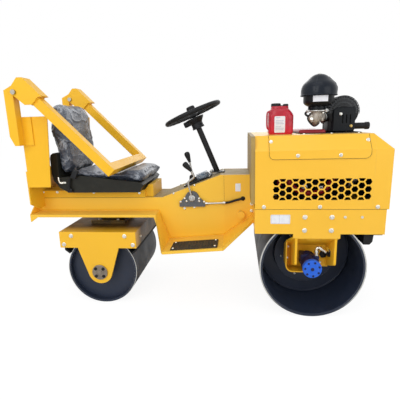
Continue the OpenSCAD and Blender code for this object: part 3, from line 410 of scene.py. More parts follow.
def blank_label(name, color, shade):
    m = Mat(name, srgb(*color), 0.4, Specular_IOR_Level=0.4)
    base = m.tint(srgb(*color), srgb(*shade), m.spots(0.4, 0.7, 60, 4), 0.3)
    return m.use(Base_Color=base, Normal=m.bump(m.noise(90, 3), 0.1, 0.0005))


def wrapped_vinyl():
    """Black vinyl under a clear film: sharp glossy creases, with pale streaks along them as painted
    highlights and pale patches as painted sheen.
    """
    m = Mat("wrapped_vinyl", srgb(44, 49, 60), 0.42, Specular_IOR_Level=0.4, Coat_Weight=0.35,
            Coat_Roughness=0.22)

    def ridges(sharpness, *how, **more):
        """1 along the lines where noise passes its middle value."""
        off = m.math("ABSOLUTE", m.math("SUBTRACT", m.noise(*how, **more), 0.5))
        return m.math("SUBTRACT", 1.0, m.times(off, sharpness))

    big = ridges(26.0, 11, 5, 0.6, warp=0.8)
    fine = ridges(19.0, 34, 4, 0.65, (1.4, 0.8, 1), warp=1.4)
    painted_sheen_patch = m.spots(0.44, 0.60, 5.5, 3, 0.5)
    base = m.mix(m.spots(0.35, 0.7, 3, 3), srgb(42, 50, 66), srgb(54, 62, 77))
    # painted sheen: pale patches over the vinyl
    base = m.tint(base, srgb(112, 120, 134), painted_sheen_patch, m.vary(0.03, 0.32, 22, 4, 0.7, low=0.35))
    lines = m.math("MAXIMUM", m.times(big, 0.9), m.times(fine, 0.3))
    # painted highlights: pale streaks along the creases, strongest in the patches
    painted_highlight_streak = m.times(lines, m.range(painted_sheen_patch, 0, 1, 0.10, 1.0))
    return m.use(
        Base_Color=m.tint(base, srgb(218, 226, 238), painted_highlight_streak, 0.70),
        Roughness=m.vary(0.22, 0.42, 16, 3),
        Normal=m.bump(m.math("ADD", m.times(big, 0.8), m.times(fine, 0.15)), 0.3, 0.003),
    )


def clear_film():
    m = Mat("clear_film", srgb(200, 214, 230), 0.18, Specular_IOR_Level=0.7, Alpha=0.42, Coat_Weight=0.4)
    fine = m.noise(60, 4, 0.65, warp=1.2)
    base = m.mix(m.step(fine, 0.45, 0.62), srgb(150, 178, 206), srgb(236, 242, 250))
    return m.use(Base_Color=base, Normal=m.bump(fine, 0.8, 0.004))


MATS["red_plastic"] = red_plastic()
MATS["label"] = blank_label("blank_label", (236, 238, 244), (200, 206, 222))
MATS["label_edge"] = blank_label("blank_label_edge", (170, 176, 200), (150, 156, 180))
MATS["vinyl"] = wrapped_vinyl()
MATS["film"] = clear_film()

# the finishes of the CAD nodes; those that a piece replaces later keep theirs too
FINISH = {
    "web": ["side_plates"],
    "hood": ["hood_sides", "hood_front_panel", "hood_top_panel", "access_panels", "frame_sides",
             "frame_cross_plates"],
    "yellow": ["seat_tray", "rops_columns", "rops_posts", "rops_hoop", "rear_cross_plate", "drum_brackets",
               "engine_deck"],
    "yoke": ["yoke"],
    "khaki_painted_shade": ["body_cover", "hood_rear_panel"],
    "under": ["belly_plate"],
    "pin": ["rops_pins"],
    "engine": ["engine_block"],
    "black": ["steering_column", "column_head", "yoke_pivot"],
    "rubber": ["front_scraper", "rear_scrapers"],
    "tread": ["step_treads"],
    "quadrant": ["lever_quadrant"],
    "front_drum": ["front_drum_shell", "front_drum_discs"],
    "rear_drum": ["rear_drum_shell", "rear_drum_discs"],
    "shell": ["seat_shell"],
    "muffler": ["muffler", "tail_pipe"],
    "steel": ["yoke_hubs"],
}
for finish, names in FINISH.items():
    for name in names:
        mesh = frame["nodes"][name].data
        mesh.materials.clear()
        mesh.materials.append(MATS[finish])

# ---------- shapes, in millimetres from the front axle, the middle plane and the floor ----------

TO_METRES = Matrix.Translation((FRONT.x, 0, 0)) @ Matrix.Scale(0.001, 4)
AXLE_Z = FRONT.z * 1000
SIDES = ((-1, "right"), (1, "left"))
UP = Vector((0, 0, 1))
# local X and Y lie along X and Z, and local Z along Y
XZ = Matrix(((1, 0, 0, 0), (0, 0, 1, 0), (0, 1, 0, 0), (0, 0, 0, 1)))


def local(point):
    """A point in metres, counted in millimetres from the front axle."""
    return (Vector(point) - Vector((FRONT.x, 0, 0))) * 1000


def corners(name):
    """A node's lowest and highest corners."""
    low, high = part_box(name)
    return local(low), local(high)


def move(x, y, z):
    return Matrix.Translation((x, y, z))


def spin(degrees, axis="Z"):
    return Matrix.Rotation(math.radians(degrees), 4, axis)


def polar(r, angle, z=0.0):
    """A point at a radius and an angle in radians round Z."""
    return Vector((r * math.cos(angle), r * math.sin(angle), z))


def frame_at(at, z, x=None):
    """A matrix with its origin at a point and its Z along a direction."""
    z = Vector(z).normalized()
    x = Vector(x or ((1, 0, 0) if abs(z.x) < 0.9 else (0, 1, 0)))
    y = z.cross(x).normalized()
    return Matrix.Translation(Vector(at)) @ Matrix((y.cross(z), y, z)).transposed().to_4x4()


def skin(part, rings):
    """Faces between each ring and the next."""
    n = len(rings[0])
    for a, b in zip(rings, rings[1:]):
        for k in range(n):
            part.faces.new((a[k], a[(k + 1) % n], b[(k + 1) % n], b[k]))


def loft(rings, start=True, wrap=False):
    """A skin over rings of points; its first and last ring are filled, or joined to each other by wrap."""
    part = bmesh.new()
    made = [[part.verts.new(p) for p in ring] for ring in rings]
    skin(part, made + made[:1] if wrap else made)
    if start and not wrap:
        part.faces.new(made[0][::-1])
    if not wrap:
        part.faces.new(made[-1])
    return part


def curve_points(points, per):
    """A smooth line through points, with a number of steps between each two."""
    points = [Vector(p) for p in points]
    ext = [points[0] * 2 - points[1]] + points + [points[-1] * 2 - points[-2]]
    out = []
    for p0, p1, p2, p3 in zip(ext, ext[1:], ext[2:], ext[3:]):
        bend, twist = 2 * p0 - 5 * p1 + 4 * p2 - p3, 3 * p1 - p0 - 3 * p2 + p3
        for t in (k / per for k in range(per)):
            out.append(0.5 * (2 * p1 + (p2 - p0) * t + bend * t * t + twist * t ** 3))
    return out + [points[-1]]


def rounded(x0, y0, x1, y1, r):
    """The outline of a rectangle with round corners, from the lower left round to the upper left."""
    spots = ((x0 + r, y0 + r, 180), (x1 - r, y0 + r, 270), (x1 - r, y1 - r, 0), (x0 + r, y1 - r, 90))
    turns = [(cx, cy, math.radians(start + 18 * i)) for cx, cy, start in spots for i in range(6)]
    return [(cx + r * math.cos(a), cy + r * math.sin(a)) for cx, cy, a in turns]


class Shape:
    """One piece, gathered from simple forms and written as one mesh."""

    def __init__(self):
        self.bm = bmesh.new()

    def add(self, part, matrix=None):
        """Takes in a form, placed by a matrix."""
        if matrix is not None:
            bmesh.ops.transform(part, matrix=matrix, verts=part.verts)
        bmesh.ops.recalc_face_normals(part, faces=part.faces)
        mesh = bpy.data.meshes.new("part")
        part.to_mesh(mesh)
        part.free()
        self.bm.from_mesh(mesh)
        bpy.data.meshes.remove(mesh)

    def prism(self, outline, a, b, matrix=None, bevel=0.0, segments=2):
        """A flat outline in local X and Y, filling local Z from a to b."""
        part = bmesh.new()
        low, high = [[part.verts.new((x, y, z)) for x, y in outline] for z in (a, b)]
        part.faces.new(low[::-1])
        part.faces.new(high)
        skin(part, (low, high))
        if bevel:
            bmesh.ops.recalc_face_normals(part, faces=part.faces)
            sharp = [e for e in part.edges if e.calc_face_angle(0) > 0.5]
            bmesh.ops.bevel(part, geom=sharp, offset=bevel, segments=segments, profile=0.6, affect="EDGES",
                            clamp_overlap=True)
        self.add(part, matrix)

    def box(self, a, b, bevel=0.0, matrix=None, segments=2):
        outline = [(a[0], a[1]), (b[0], a[1]), (b[0], b[1]), (a[0], b[1])]
        self.prism(outline, a[2], b[2], matrix, bevel, segments)

    def lathe(self, profile, matrix=None, n=48, solid=True):
        """A profile of (radius, height) pairs turned round local Z; a solid one is closed at its ends."""
        if solid and profile[0][0]:
            profile = [(0, profile[0][1])] + profile
        if solid and profile[-1][0]:
            profile = profile + [(0, profile[-1][1])]
        part = bmesh.new()
        rings = []
        for r, z in profile:
            if r:
                rings.append([part.verts.new(polar(r, 2 * math.pi * i / n, z)) for i in range(n)])
            else:
                rings.append([part.verts.new((0, 0, z))] * n)
        for low, high in zip(rings, rings[1:]):
            for i in range(n):
                j = (i + 1) % n
                quad = list(dict.fromkeys((low[i], low[j], high[j], high[i])))
                if len(quad) > 2:
                    part.faces.new(quad)
        self.add(part, matrix)

    def tube(self, points, radius, n=12):
        """A round bar along points; radius may be a list with one for each point."""
        points = [Vector(p) for p in points]
        radii = radius if isinstance(radius, list) else [radius] * len(points)
        side = None
        rings = []
        for before, p, after, r in zip(points[:1] + points, points, points[1:] + points[-1:], radii):
            along = (after - before).normalized()
            side = side or along.orthogonal().normalized()
            side = (side - along * side.dot(along)).normalized()
            other = along.cross(side)
            angles = [2 * math.pi * k / n for k in range(n)]
            rings.append([p + (side * math.cos(a) + other * math.sin(a)) * r for a in angles])
        self.add(loft(rings))

    def pipe(self, points, per, radius, n=12):
        """A round bar along the smooth line through points, with per steps between each two."""
        self.tube(curve_points(points, per), radius, n)

    def ball(self, at, r, n):
        rows = max(6, n // 2)
        angles = [math.pi * i / rows for i in range(1, rows)]
        self.lathe([(0, -r)] + [(r * math.sin(a), -r * math.cos(a)) for a in angles] + [(0, r)], move(*at), n)

    def bolt(self, at, out, size, washer=True):
        """A hex head on a washer, facing out; size is the thread's diameter."""
        m = frame_at(at, out)
        z = 0.0
        if washer:
            z = size * 0.2
            self.lathe([(size * 1.08, 0), (size * 1.08, size * 0.16), (size, z)], m, 20)
        flat, top = size * 0.92, z + size * 0.66
        m = m @ Matrix.Rotation(rng.random() * 1.05, 4, "Z")
        profile = [(flat, z - 0.2), (flat, z + size * 0.52), (flat * 0.86, top), (0, top)]
        self.lathe(profile, m, 6, solid=False)

    def bolts(self, spots, out, size, washer=True):
        """Like bolts on one face."""
        for at in spots:
            self.bolt(at, out, size, washer)

    def domes(self, spots, out, size):
        """Round bolt heads with a socket, facing out."""
        profile = [(1, 0), (1, 0.25), (0.8, 0.55), (0.42, 0.7), (0.4, 0.45), (0, 0.45)]
        for at in spots:
            self.lathe([(r * size, z * size) for r, z in profile], frame_at(at, out), 20, solid=False)

    def done(self, name, finish, slot=None, body="chassis", angle=35, replaces=(), weld=False):
        """Writes the piece in metres; edges sharper than angle stay sharp."""
        if weld:
            bmesh.ops.remove_doubles(self.bm, verts=self.bm.verts, dist=1e-3)
        bmesh.ops.transform(self.bm, matrix=TO_METRES, verts=self.bm.verts)
        mesh = bpy.data.meshes.new(name)
        self.bm.to_mesh(mesh)
        self.bm.free()
        mesh.polygons.foreach_set("use_smooth", [True] * len(mesh.polygons))
        mesh.set_sharp_from_angle(angle=math.radians(angle))
        obj = bpy.data.objects.new(name, mesh)
        scene.collection.objects.link(obj)
        mesh.materials.append(MATS[finish])
        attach(obj, body)
        if replaces:
            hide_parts(*replaces)


# the bolts, joint lines and weld beads of the whole chassis, written at the end
fasteners = Shape()
seams = Shape()
welds = Shape()


def weld(points, r=2.8):
    """A weld bead along points, with its ripples."""
    line = []
    for a, b in zip(points, points[1:]):
        a, b = Vector(a), Vector(b)
        steps = int((b - a).length / 4)
        line += [a.lerp(b, i / steps) for i in range(steps)]
    line.append(Vector(points[-1]))
    welds.tube(line, [r * (0.85 + 0.22 * (i % 2) + 0.1 * rng.random()) for i in range(len(line))], 8)


# ---------- hood and front frame ----------

HALF = corners("hood_sides")[1].y
HOOD_TOP = corners("hood_sides")[1].z
FRAME_TOP = corners("engine_deck")[1].z
frame_low, frame_high = corners("frame_sides")
panel_low, panel_high = corners("access_panels")
BEVEL_H, BEVEL_IN = 75, 55
BEVEL_Z = HOOD_TOP - BEVEL_H
PANEL_T = 3
# the bevel's outward direction, in Y and Z
BEVEL_Y_OUT, BEVEL_UP = 0.806, 0.591


def on_bevel(x, z, side):
    """A point over the bevel's face, by the thickness of an access panel."""
    y = HALF - (z - BEVEL_Z) * BEVEL_IN / BEVEL_H
    return Vector((x, side * (y + PANEL_T * BEVEL_Y_OUT), z + PANEL_T * BEVEL_UP))


def panel_seam(side):
    """The joint line round an access panel, down one end, along its foot and up the other."""
    r, y, z = 26, side * (HALF + PANEL_T), panel_low.z + 26
    line = [on_bevel(panel_low.x, HOOD_TOP - 3, side), on_bevel(panel_low.x, BEVEL_Z, side)]
    for x, start in ((panel_low.x + r, 180), (panel_high.x - r, 270)):
        turns = [math.radians(start + 15 * i) for i in range(7)]
        line += [(x + r * math.cos(a), y, z + r * math.sin(a)) for a in turns]
    return line + [on_bevel(panel_high.x, BEVEL_Z, side), on_bevel(panel_high.x, HOOD_TOP - 3, side)]


def blank_plate(side, hand):
    """A bare plate on the frame's side with a plain border."""
    face = side * (HALF + 0.8)
    plate = Shape()
    plate.prism(rounded(-226, FRAME_TOP - 77, -126, FRAME_TOP - 28, 4), side * HALF, face, XZ)
    plate.done("blank_plate_" + hand, "label")
    border = Shape()
    for x0, x1, z0, z1 in (
        (-223, -129, 75, 74), (-223, -129, 31, 30), (-223, -222, 75, 30), (-130, -129, 75, 30),
        (-182, -181, 75, 30),
    ):
        border.box((x0, FRAME_TOP - z0, face), (x1, FRAME_TOP - z1, side * (HALF + 1.1)), 0, XZ)
    border.done("blank_plate_line_" + hand, "label_edge")


for side, hand in SIDES:
    out = (0, side, 0)
    y, panel_y = side * HALF, side * (HALF + PANEL_T)
    fasteners.bolts([(x, y, FRAME_TOP + 13) for x in (-261, 20, 300)], out, 9.8)
    fasteners.bolts([(x, y, FRAME_TOP - drop) for x in (-52, 82) for drop in (41, 112)], out, 11.8)
    fasteners.bolts([(x, y, FRAME_TOP - 40) for x in (146, 229)], out, 8.6, washer=False)
    fasteners.bolts([(x, panel_y, panel_low.z + 18) for x in (-98, 107)], out, 8.8)
    ends = (panel_low.x + 10, panel_high.x - 10)
    fasteners.bolts([on_bevel(x, HOOD_TOP - 32, side) for x in ends], (0, side * BEVEL_Y_OUT, BEVEL_UP), 8.8)
    seams.tube([(frame_low.x, y, FRAME_TOP), (frame_high.x, y, FRAME_TOP)], 0.9, 6)
    seams.tube(panel_seam(side), 0.8, 6)
    # joint bolts between the body and the front frame
    fasteners.bolts([(frame_low.x - 8, side * 140, z) for z in (590, 548)], out, 9)
    blank_plate(side, hand)

# bolts round the front panel, the frame's front and the opening in the top
FORWARD = (1, 0, 0)
front_x = corners("hood_front_panel")[1].x
fasteners.bolts([(front_x, y, FRAME_TOP + 14) for y in (-330, -165, 0, 165, 330)], FORWARD, 8.8)
fasteners.bolts([(front_x, y, FRAME_TOP + rise) for y in (-190, 190) for rise in (70, 262)], FORWARD, 7.8)
frame_x = corners("frame_cross_plates")[1].x
spots = [(frame_x, y, FRAME_TOP - drop) for y in (-300, -150, 150, 300) for drop in (30, 100)]
fasteners.bolts(spots, FORWARD, 10)
fasteners.domes([(x, y, HOOD_TOP) for x in (-45, 95, 232) for y in (-222, 222)], UP, 6.2)
trim = Shape()
ring = [Vector((x, y, HOOD_TOP + 1)) for x, y in ((-62, -205), (249, -205), (249, 205), (-62, 205))]
for a, b in zip(ring, ring[1:] + ring[:1]):
    trim.tube([a, b], 4.2, 8)
for corner in ring:
    trim.ball(corner, 4.2, 10)
trim.done("opening_trim", "rubber")

# ---------- body, steps and tray ----------

# half width over the body's side plates
BODY = 140
for side, hand in SIDES:
    out = (0, side, 0)
    y = side * BODY
    fasteners.bolts([(x, y, z) for x, z in ((-1596, 668), (-1504, 668), (-1269, 665), (-984, 660))], out, 7.8)
    fasteners.bolts([(x, y, z) for x, z in ((-712, 564), (-653, 573))], out, 7.2)
    fasteners.domes([(-776, y, 655), (-649, y, 704)], out, 6.6)
    # weld beads of the step's flange and the rear gusset, and the plates' joint lines
    weld([(x, y, z) for x, z in ((-1619, 556.5), (-868, 556.5), (-806, 381), (-482, 407), (-312, 531))])
    weld([(-1619, side * (BODY + 0.5), z) for z in (560, 626)])
    seams.tube([(x, side * (BODY + 0.1), 632) for x in (-1596, -950)], 1.0, 6)
    seams.tube([(-475, side * (BODY + 0.1), z) for z in (600, 762)], 0.6, 6)
    small = Shape()
    small.prism(rounded(-409, 665, -379, 712, 3), y, side * (BODY + 0.8), XZ)
    small.prism(rounded(-406, 684, -382, 709, 2), side * (BODY + 0.8), side * (BODY + 1.1), XZ)
    small.done("blank_plate_small_" + hand, "label")

# pressed plates with rows of slanted studs
tread_low, tread_high = corners("step_treads")
step_m = move(tread_low.x, 0, tread_low.z) @ Matrix.Rotation(-math.atan(26 / 334), 4, "Y")
STUD_ROWS, STUD_COLUMNS = 14, 7
for side, hand in SIDES:
    near, far = sorted((side * tread_high.y, side * (tread_high.y - 128)))
    top = Shape()
    top.prism(rounded(0, near, 262, far, 6), 5.2, 6.0, step_m)
    for i in range(STUD_ROWS):
        for j in range(STUD_COLUMNS):
            if i in (0, STUD_ROWS - 1) and j in (0, STUD_COLUMNS - 1):
                continue
            lean = Matrix.Rotation(-0.785 if (i + j) % 2 == 0 else 0.785, 4, "Z")
            at = step_m @ move(14 + i * 18, near + 12 + j * 17.3, 5.9) @ lean
            top.box((-6, -1.8, 0), (6, 1.8, 1.6), 0.7, at, 1)
    top.done("tread_studs_" + hand, "tread")
    screws = [step_m @ Vector((u, near + v, 6)) for u in (14, 248) for v in (16, 112)]
    fasteners.domes(screws, step_m.to_3x3() @ UP, 6.8)

# ---------- quadrant, levers, rod and gauge ----------

RIGHT = (0, -1, 0)
# the travel lever's pivot on the quadrant
qx, qz = -664, 625
spots = ((-44, 3), (42, 2), (-33, -14), (42, -14), (-69, -18), (71, -18))
fasteners.domes([(qx + x, -154, qz + z) for x, z in spots], RIGHT, 6.8)


def grip(name, at, lean):
    """A pear-shaped knob on a lever."""
    profile = [(8.5, 0), (9.5, 3), (8.5, 6), (10, 10), (11.5, 18), (14, 30), (16.2, 42), (17, 50), (16.2, 57),
               (12.5, 62.5), (6, 65), (0, 65.5)]
    piece = Shape()
    piece.lathe(profile, move(*at) @ spin(lean, "Y"), 28)
    piece.done(name, "grip", angle=60)


lever = Shape()
lever.lathe([(19, 0), (19, 6), (15, 8), (15, 13), (10, 13.5), (10, 19), (8.5, 21)],
            frame_at((qx, -154, qz + 4), RIGHT), 28)
lever.pipe([(qx + x, y, qz + z) for x, y, z in (
    (0, -162, 4), (-8, -165, 48), (-17, -168, 92), (-11, -170, 108), (11, -175, 124), (18, -176, 137),
    (12, -179, 155), (4, -182, 174),
)], 5, 5.6)
lever.done("travel_lever_rod", "steel", replaces=("travel_lever",))
grip("travel_lever_grip", (qx + 6, -182, qz + 168), -42)

# control panel on the body's front slope, with the throttle's boot, rod and grip
slope_m = move(-696, 0, 688) @ Matrix.Rotation(-math.atan(131 / 349), 4, "Y")
PANEL_H = 8.8
panel = Shape()
panel.box((-26, -78, 0.3), (150, 78, PANEL_H), 2.2, slope_m)
panel.box((0, -74, PANEL_H), (70, -6, 10.5), 1.2, slope_m)
screws = [slope_m @ Vector((u, v, PANEL_H)) for v in (-71, 71) for u in (-19, 143)]
fasteners.domes(screws, slope_m.to_3x3() @ UP, 4.5)
panel.done("control_panel", "black", "black_plastic", replaces=("throttle_lever",))
boot = Shape()
profile = [(28.5, 8.5), (28.5, 12)]
for i in range(5):
    r, z = 26.2 - i * 3, 13 + i * 7.2
    profile += [(r, z), (r + 1.8, z + 2.6), (r - 2.6, z + 6)]
boot.lathe(profile + [(10.8, 50), (8.5, 52.5)], slope_m @ move(36, -40, 0), 32)
boot.done("throttle_boot", "rubber", angle=50)
rod = Shape()
rod.pipe([(-671, -40, 728), (-675, -40, 762), (-682, -40, 802), (-687, -40, 839)], 5, 5.6)
rod.done("throttle_rod", "steel")
grip("throttle_grip", (-686, -40, 829), -17)

# gauge with a plain dial, under loose film, and the switches beside it
gauge_m = slope_m @ move(98, -22, PANEL_H)
gauge = Shape()
gauge.lathe([(33, 0), (34, 3), (32.5, 6), (32.5, 20), (33.5, 24), (32.5, 26.2), (29.2, 26.2), (28.5, 22.8)],
            gauge_m, 40)
gauge.done("gauge_case", "plastic")
dial = Shape()
dial.lathe([(28, 22.9), (28, 23.3)], gauge_m, 36)
dial.done("gauge_dial", "label", "black_plastic")
marks = Shape()
for i in range(11):
    marks.box((20.5, -0.6, 23.2), (25.5, 0.6, 23.6), 0, gauge_m @ spin(-30 + 24 * i))
marks.box((-5, -0.8, 23.6), (21, 0.8, 24.2), 0, gauge_m @ spin(60))
marks.lathe([(3, 23.6), (3, 24.8)], gauge_m, 16)
marks.done("gauge_marks", "plastic")


def film_ring(t, r, n=36):
    """A crumpled ring of the gauge's film at share t of its height."""
    ring = []
    for k in range(n):
        a = 2 * math.pi * k / n
        bump = 2.6 * noise.noise(polar(2.2, a, t * 3.1))
        ring.append(polar(r + bump, a, 30.5 * min(1, t * 1.35) + 2 + bump))
    return ring


film = Shape()
FILM_ROWS, TOP_ROWS = 9, 2
sides = [film_ring(i / FILM_ROWS, 40.5 - 3.5 * i / FILM_ROWS) for i in range(FILM_ROWS - TOP_ROWS)]
top = [film_ring(1 - i / FILM_ROWS, 37 * i / 2.2) for i in range(TOP_ROWS, -1, -1)]
film.add(loft(sides + top, start=False), gauge_m)
film.done("gauge_film", "film", angle=80)
knobs = Shape()
for u, v in ((45, 40), (85, 52), (125, 46)):
    knobs.lathe([(10, 0), (10, 3), (7.5, 4), (7, 14), (5.5, 15.5)], slope_m @ move(u, v, PANEL_H), 24)
knobs.done("panel_switches", "plastic")

# control rod with its nuts, and the sheathed cable that goes on into the body
link = Shape()
link.tube([(qx + 76, -150, qz - 30), (qx + 196, -150, qz - 26)], 5.6)
link.lathe([(8.6, 0), (8.6, 14)], frame_at((qx + 78, -150, qz - 30), (1, 0, 0.03)), 6)
link.lathe([(9, 0), (9, 16)], frame_at((qx + 180, -150, qz - 26.5), (1, 0, 0.03)), 6)
link.done("control_rod_bar", "steel", replaces=("control_rod",))
sheath = Shape()
sheath.pipe([(qx + x, y, qz - drop) for x, y, drop in (
    (190, -150, 26), (216, -150, 23), (252, -150, 12), (282, -150, 4), (296, -147, 2), (300, -140, 1),
)], 6, 6.8, 14)
sheath.lathe([(13, 0), (13, 4), (10, 6)], frame_at((qx + 298, -BODY, qz - 2), RIGHT), 24)
sheath.done("control_cable", "rubber")

# ---------- engine top ----------


def squircle(cx, cy, hx, hy, z, n, power):
    """A rounded rectangle as a ring of points at height z."""
    ring = []
    for i in range(n):
        a = 2 * math.pi * i / n
        c, s = math.cos(a), math.sin(a)
        k = (abs(c) ** power + abs(s) ** power) ** (-1 / power)
        ring.append((cx + hx * c * k, cy + hy * s * k, z))
    return ring


# coolant bottle: shouldered body with a raised front, caps on a neck, handle and blank label
b_low, b_high = corners("coolant_bottle")
bx, by = b_low.x, (b_low.y + b_high.y) / 2


def bottle_ring(z, left, right, share):
    """A ring of the bottle, inset at its left and right, with a share of its depth."""
    x0, x1 = b_low.x + left, b_high.x - right
    depth = (b_high.y - b_low.y) / 2 * share
    return squircle((x0 + x1) / 2, by, (x1 - x0) / 2, depth, HOOD_TOP + z, 44, 5.0 if z < 105 else 3.6)


bottle = Shape()
bottle.add(loft([bottle_ring(*row) for row in (
    (0, 7, 6, 0.93), (4, 3, 3, 0.96), (12, 1, 0.5, 0.975), (30, 2, 1, 0.965), (34, 1, 0.5, 0.975),
    (66, 1, 0.5, 0.975), (70, 2, 1.5, 0.965), (74, 1, 0.5, 0.975), (98, 1, 0.5, 0.975), (106, 1.5, 2, 0.97),
    (113, 2, 6, 0.965), (120, 3, 12, 0.95), (127, 6, 18, 0.91), (132, 10, 23, 0.85), (136, 16, 28, 0.76),
    (138, 24, 36, 0.60),
)]))
bottle.box((bx + 12, b_low.y - 0.2, HOOD_TOP + 10), (bx + 100, b_low.y + 10, HOOD_TOP + 104), 4, segments=3)
neck = ((130, 1.04), (146, 1.0), (149, 0.96))
bottle.add(loft([squircle(bx + 62, by, 46 * k, 40 * k, HOOD_TOP + z, 36, 3.0) for z, k in neck]))
bottle.done("coolant_bottle_body", "red_plastic", angle=42, replaces=("coolant_bottle",), weld=True)
caps = Shape()
for x, r, h, ribs in ((42, 25, 19, 20), (94, 13.5, 15, 12)):
    m = move(bx + x, by, HOOD_TOP + 146)
    profile = [(r * 0.96, 0), (r, 2), (r, h - 3), (r * 0.92, h), (r * 0.5, h + 0.6), (r * 0.48, h - 1)]
    caps.lathe(profile, m, 36)
    for i in range(ribs):
        caps.box((r - 1, -1.5, 1), (r + 1.2, 1.5, h - 2), 0.5, m @ spin(360 * i / ribs), 1)
caps.box((bx + 60, by - 4, HOOD_TOP + 151), (bx + 92, by + 4, HOOD_TOP + 155), 1.5)
caps.done("bottle_caps", "plastic")
handle = Shape()
spots = ((12, 124), (-2, 120), (-7, 104), (-7, 50), (-3, 32), (8, 26))
handle.pipe([(bx + x, by - 20, HOOD_TOP + z) for x, z in spots], 5, 4.2, 10)
handle.done("bottle_handle", "red_plastic", angle=60)
label = Shape()
label_x, label_z = bx + 30, HOOD_TOP + 10
label.prism(rounded(label_x, label_z, label_x + 56, label_z + 86, 5), b_low.y - 1, b_low.y + 1, XZ)
label.done("bottle_label", "label", "red_plastic")
lines = Shape()
for row, width in ((14, 40), (22, 44), (30, 30), (46, 44), (54, 38), (62, 42), (78, 24)):
    x, z = label_x + 6, label_z + row
    lines.box((x, z, b_low.y - 1.5), (x + width, z + 2, b_low.y - 0.9), 0, XZ)
lines.done("bottle_label_lines", "label_edge", "red_plastic")

# fuel tank: pressed halves with a seam
low, high = corners("fuel_tank")
seam_z = high.z - 62
tank = Shape()
tank.box((low.x, low.y, low.z + 10), high, 16, segments=5)
tank.box((low.x - 5, low.y - 5, seam_z), (high.x + 5, high.y + 5, seam_z + 4), 1.5)
tank.box((low.x + 12, low.y + 12, low.z), (high.x - 12, high.y - 12, low.z + 20), 4)
tank.done("fuel_tank_shell", "red", replaces=("fuel_tank",))

# air cleaner: hood-shaped cap over a can with a slotted neck
low, high = corners("air_cleaner")
ax, ay = (low.x + high.x) / 2, (low.y + high.y) / 2
air_r = (high.x - low.x) / 2
AIR = move(ax, ay, low.z)
can = Shape()
can.lathe([(44.5, 0), (46.2, 2), (46.2, 14), (52, 18), (62, 22.5), (71.5, 29), (77.5, 37), (79.2, 45),
           (79.2, 84)], AIR, 64)
for i in range(12):
    can.box((45, -6.5, 1.5), (53, 6.5, 17.5), 1, AIR @ Matrix.Rotation(2 * math.pi * i / 12 + 0.1, 4, "Z"), 1)
can.done("air_cleaner_can", "slate", replaces=("air_cleaner",))
lid = Shape()
lid.lathe([
    (air_r - 5, 72.2), (air_r - 0.6, 72.2), (air_r, 74), (air_r, 77.5), (air_r - 2, 79.5), (air_r - 1.2, 100),
    (91.5, 114), (88, 124), (82, 133.5), (74, 142), (65, 149.5), (56, 158), (47.5, 166.5), (38.5, 173.8),
    (28.5, 179.5), (18, 183.2), (9, 184.5), (0, 184.8),
], AIR, 72, solid=False)
for i in range(4):
    m = AIR @ Matrix.Rotation(math.pi / 2 * i - 1.95, 4, "Z")
    spots = ((47.5, 166.8), (65, 149.8), (82.5, 133.5), (92.5, 112), (93.5, 95))
    lid.tube([m @ Vector((x, 0, z)) for x, z in spots], 1.5, 8)
lid.done("air_cleaner_lid", "lid", angle=40)
nut = Shape()
nut.lathe([(10, 183), (10, 185), (0, 185.2)], AIR, 24)
nut.lathe([(7, 184.5), (7, 188), (5, 190)], AIR, 6)
nut.done("air_cleaner_nut", "zinc")
label = Shape()
angles = [math.radians(-122 + 56 * i / 16) for i in range(17)]
section = ((78, 40), (79.8, 40), (79.8, 70.5), (78, 70.5))
label.add(loft([[AIR @ polar(r, a, z) for r, z in section] for a in angles]))
label.done("air_cleaner_label", "label", "black_plastic", angle=40)

# clamp and cast elbow under the air cleaner
clamp = Shape()
clamp.lathe([(56, -8.5), (58, -7), (58, -3), (56, -1.2), (50, -1)], AIR, 48)
for degrees in (197, 302, 80):
    m = AIR @ spin(degrees)
    clamp.box((48, -9, -8.5), (67, 9, -1), 1.5, m)
    clamp.bolt(m @ Vector((59.5, 0, -1)), UP, 6.2)
    clamp.bolt(m @ Vector((59.5, 0, -8.5)), -UP, 6.2)
clamp.done("air_cleaner_clamp", "steel")


def on_elbow(x, z, y):
    """A point counted from the air cleaner's axis."""
    return Vector((ax + x, ay + y, z))


def elbow_pipe(piece, spots, per, radius, n):
    piece.pipe([on_elbow(*spot) for spot in spots], per, radius, n)


def elbow_ring(z, x0, x1, depth, n=32):
    """A ring of the casting, between two x."""
    angles = [2 * math.pi * k / n for k in range(n)]
    middle, half = (x0 + x1) / 2, (x1 - x0) / 2
    return [on_elbow(middle + half * math.cos(a), z, 4 + depth * math.sin(a)) for a in angles]


elbow = Shape()
elbow.add(loft([elbow_ring(*row) for row in (
    (1103.5, -37, 30, 36), (1092, -37, 30, 36), (1080, -38, 27, 36), (1068, -38, 23, 35), (1057, -36, 18, 33),
    (1046, -32, 10, 29), (1037, -26, 1, 22), (1030, -20, -6, 14), (1026, -16, -10, 6),
)]))
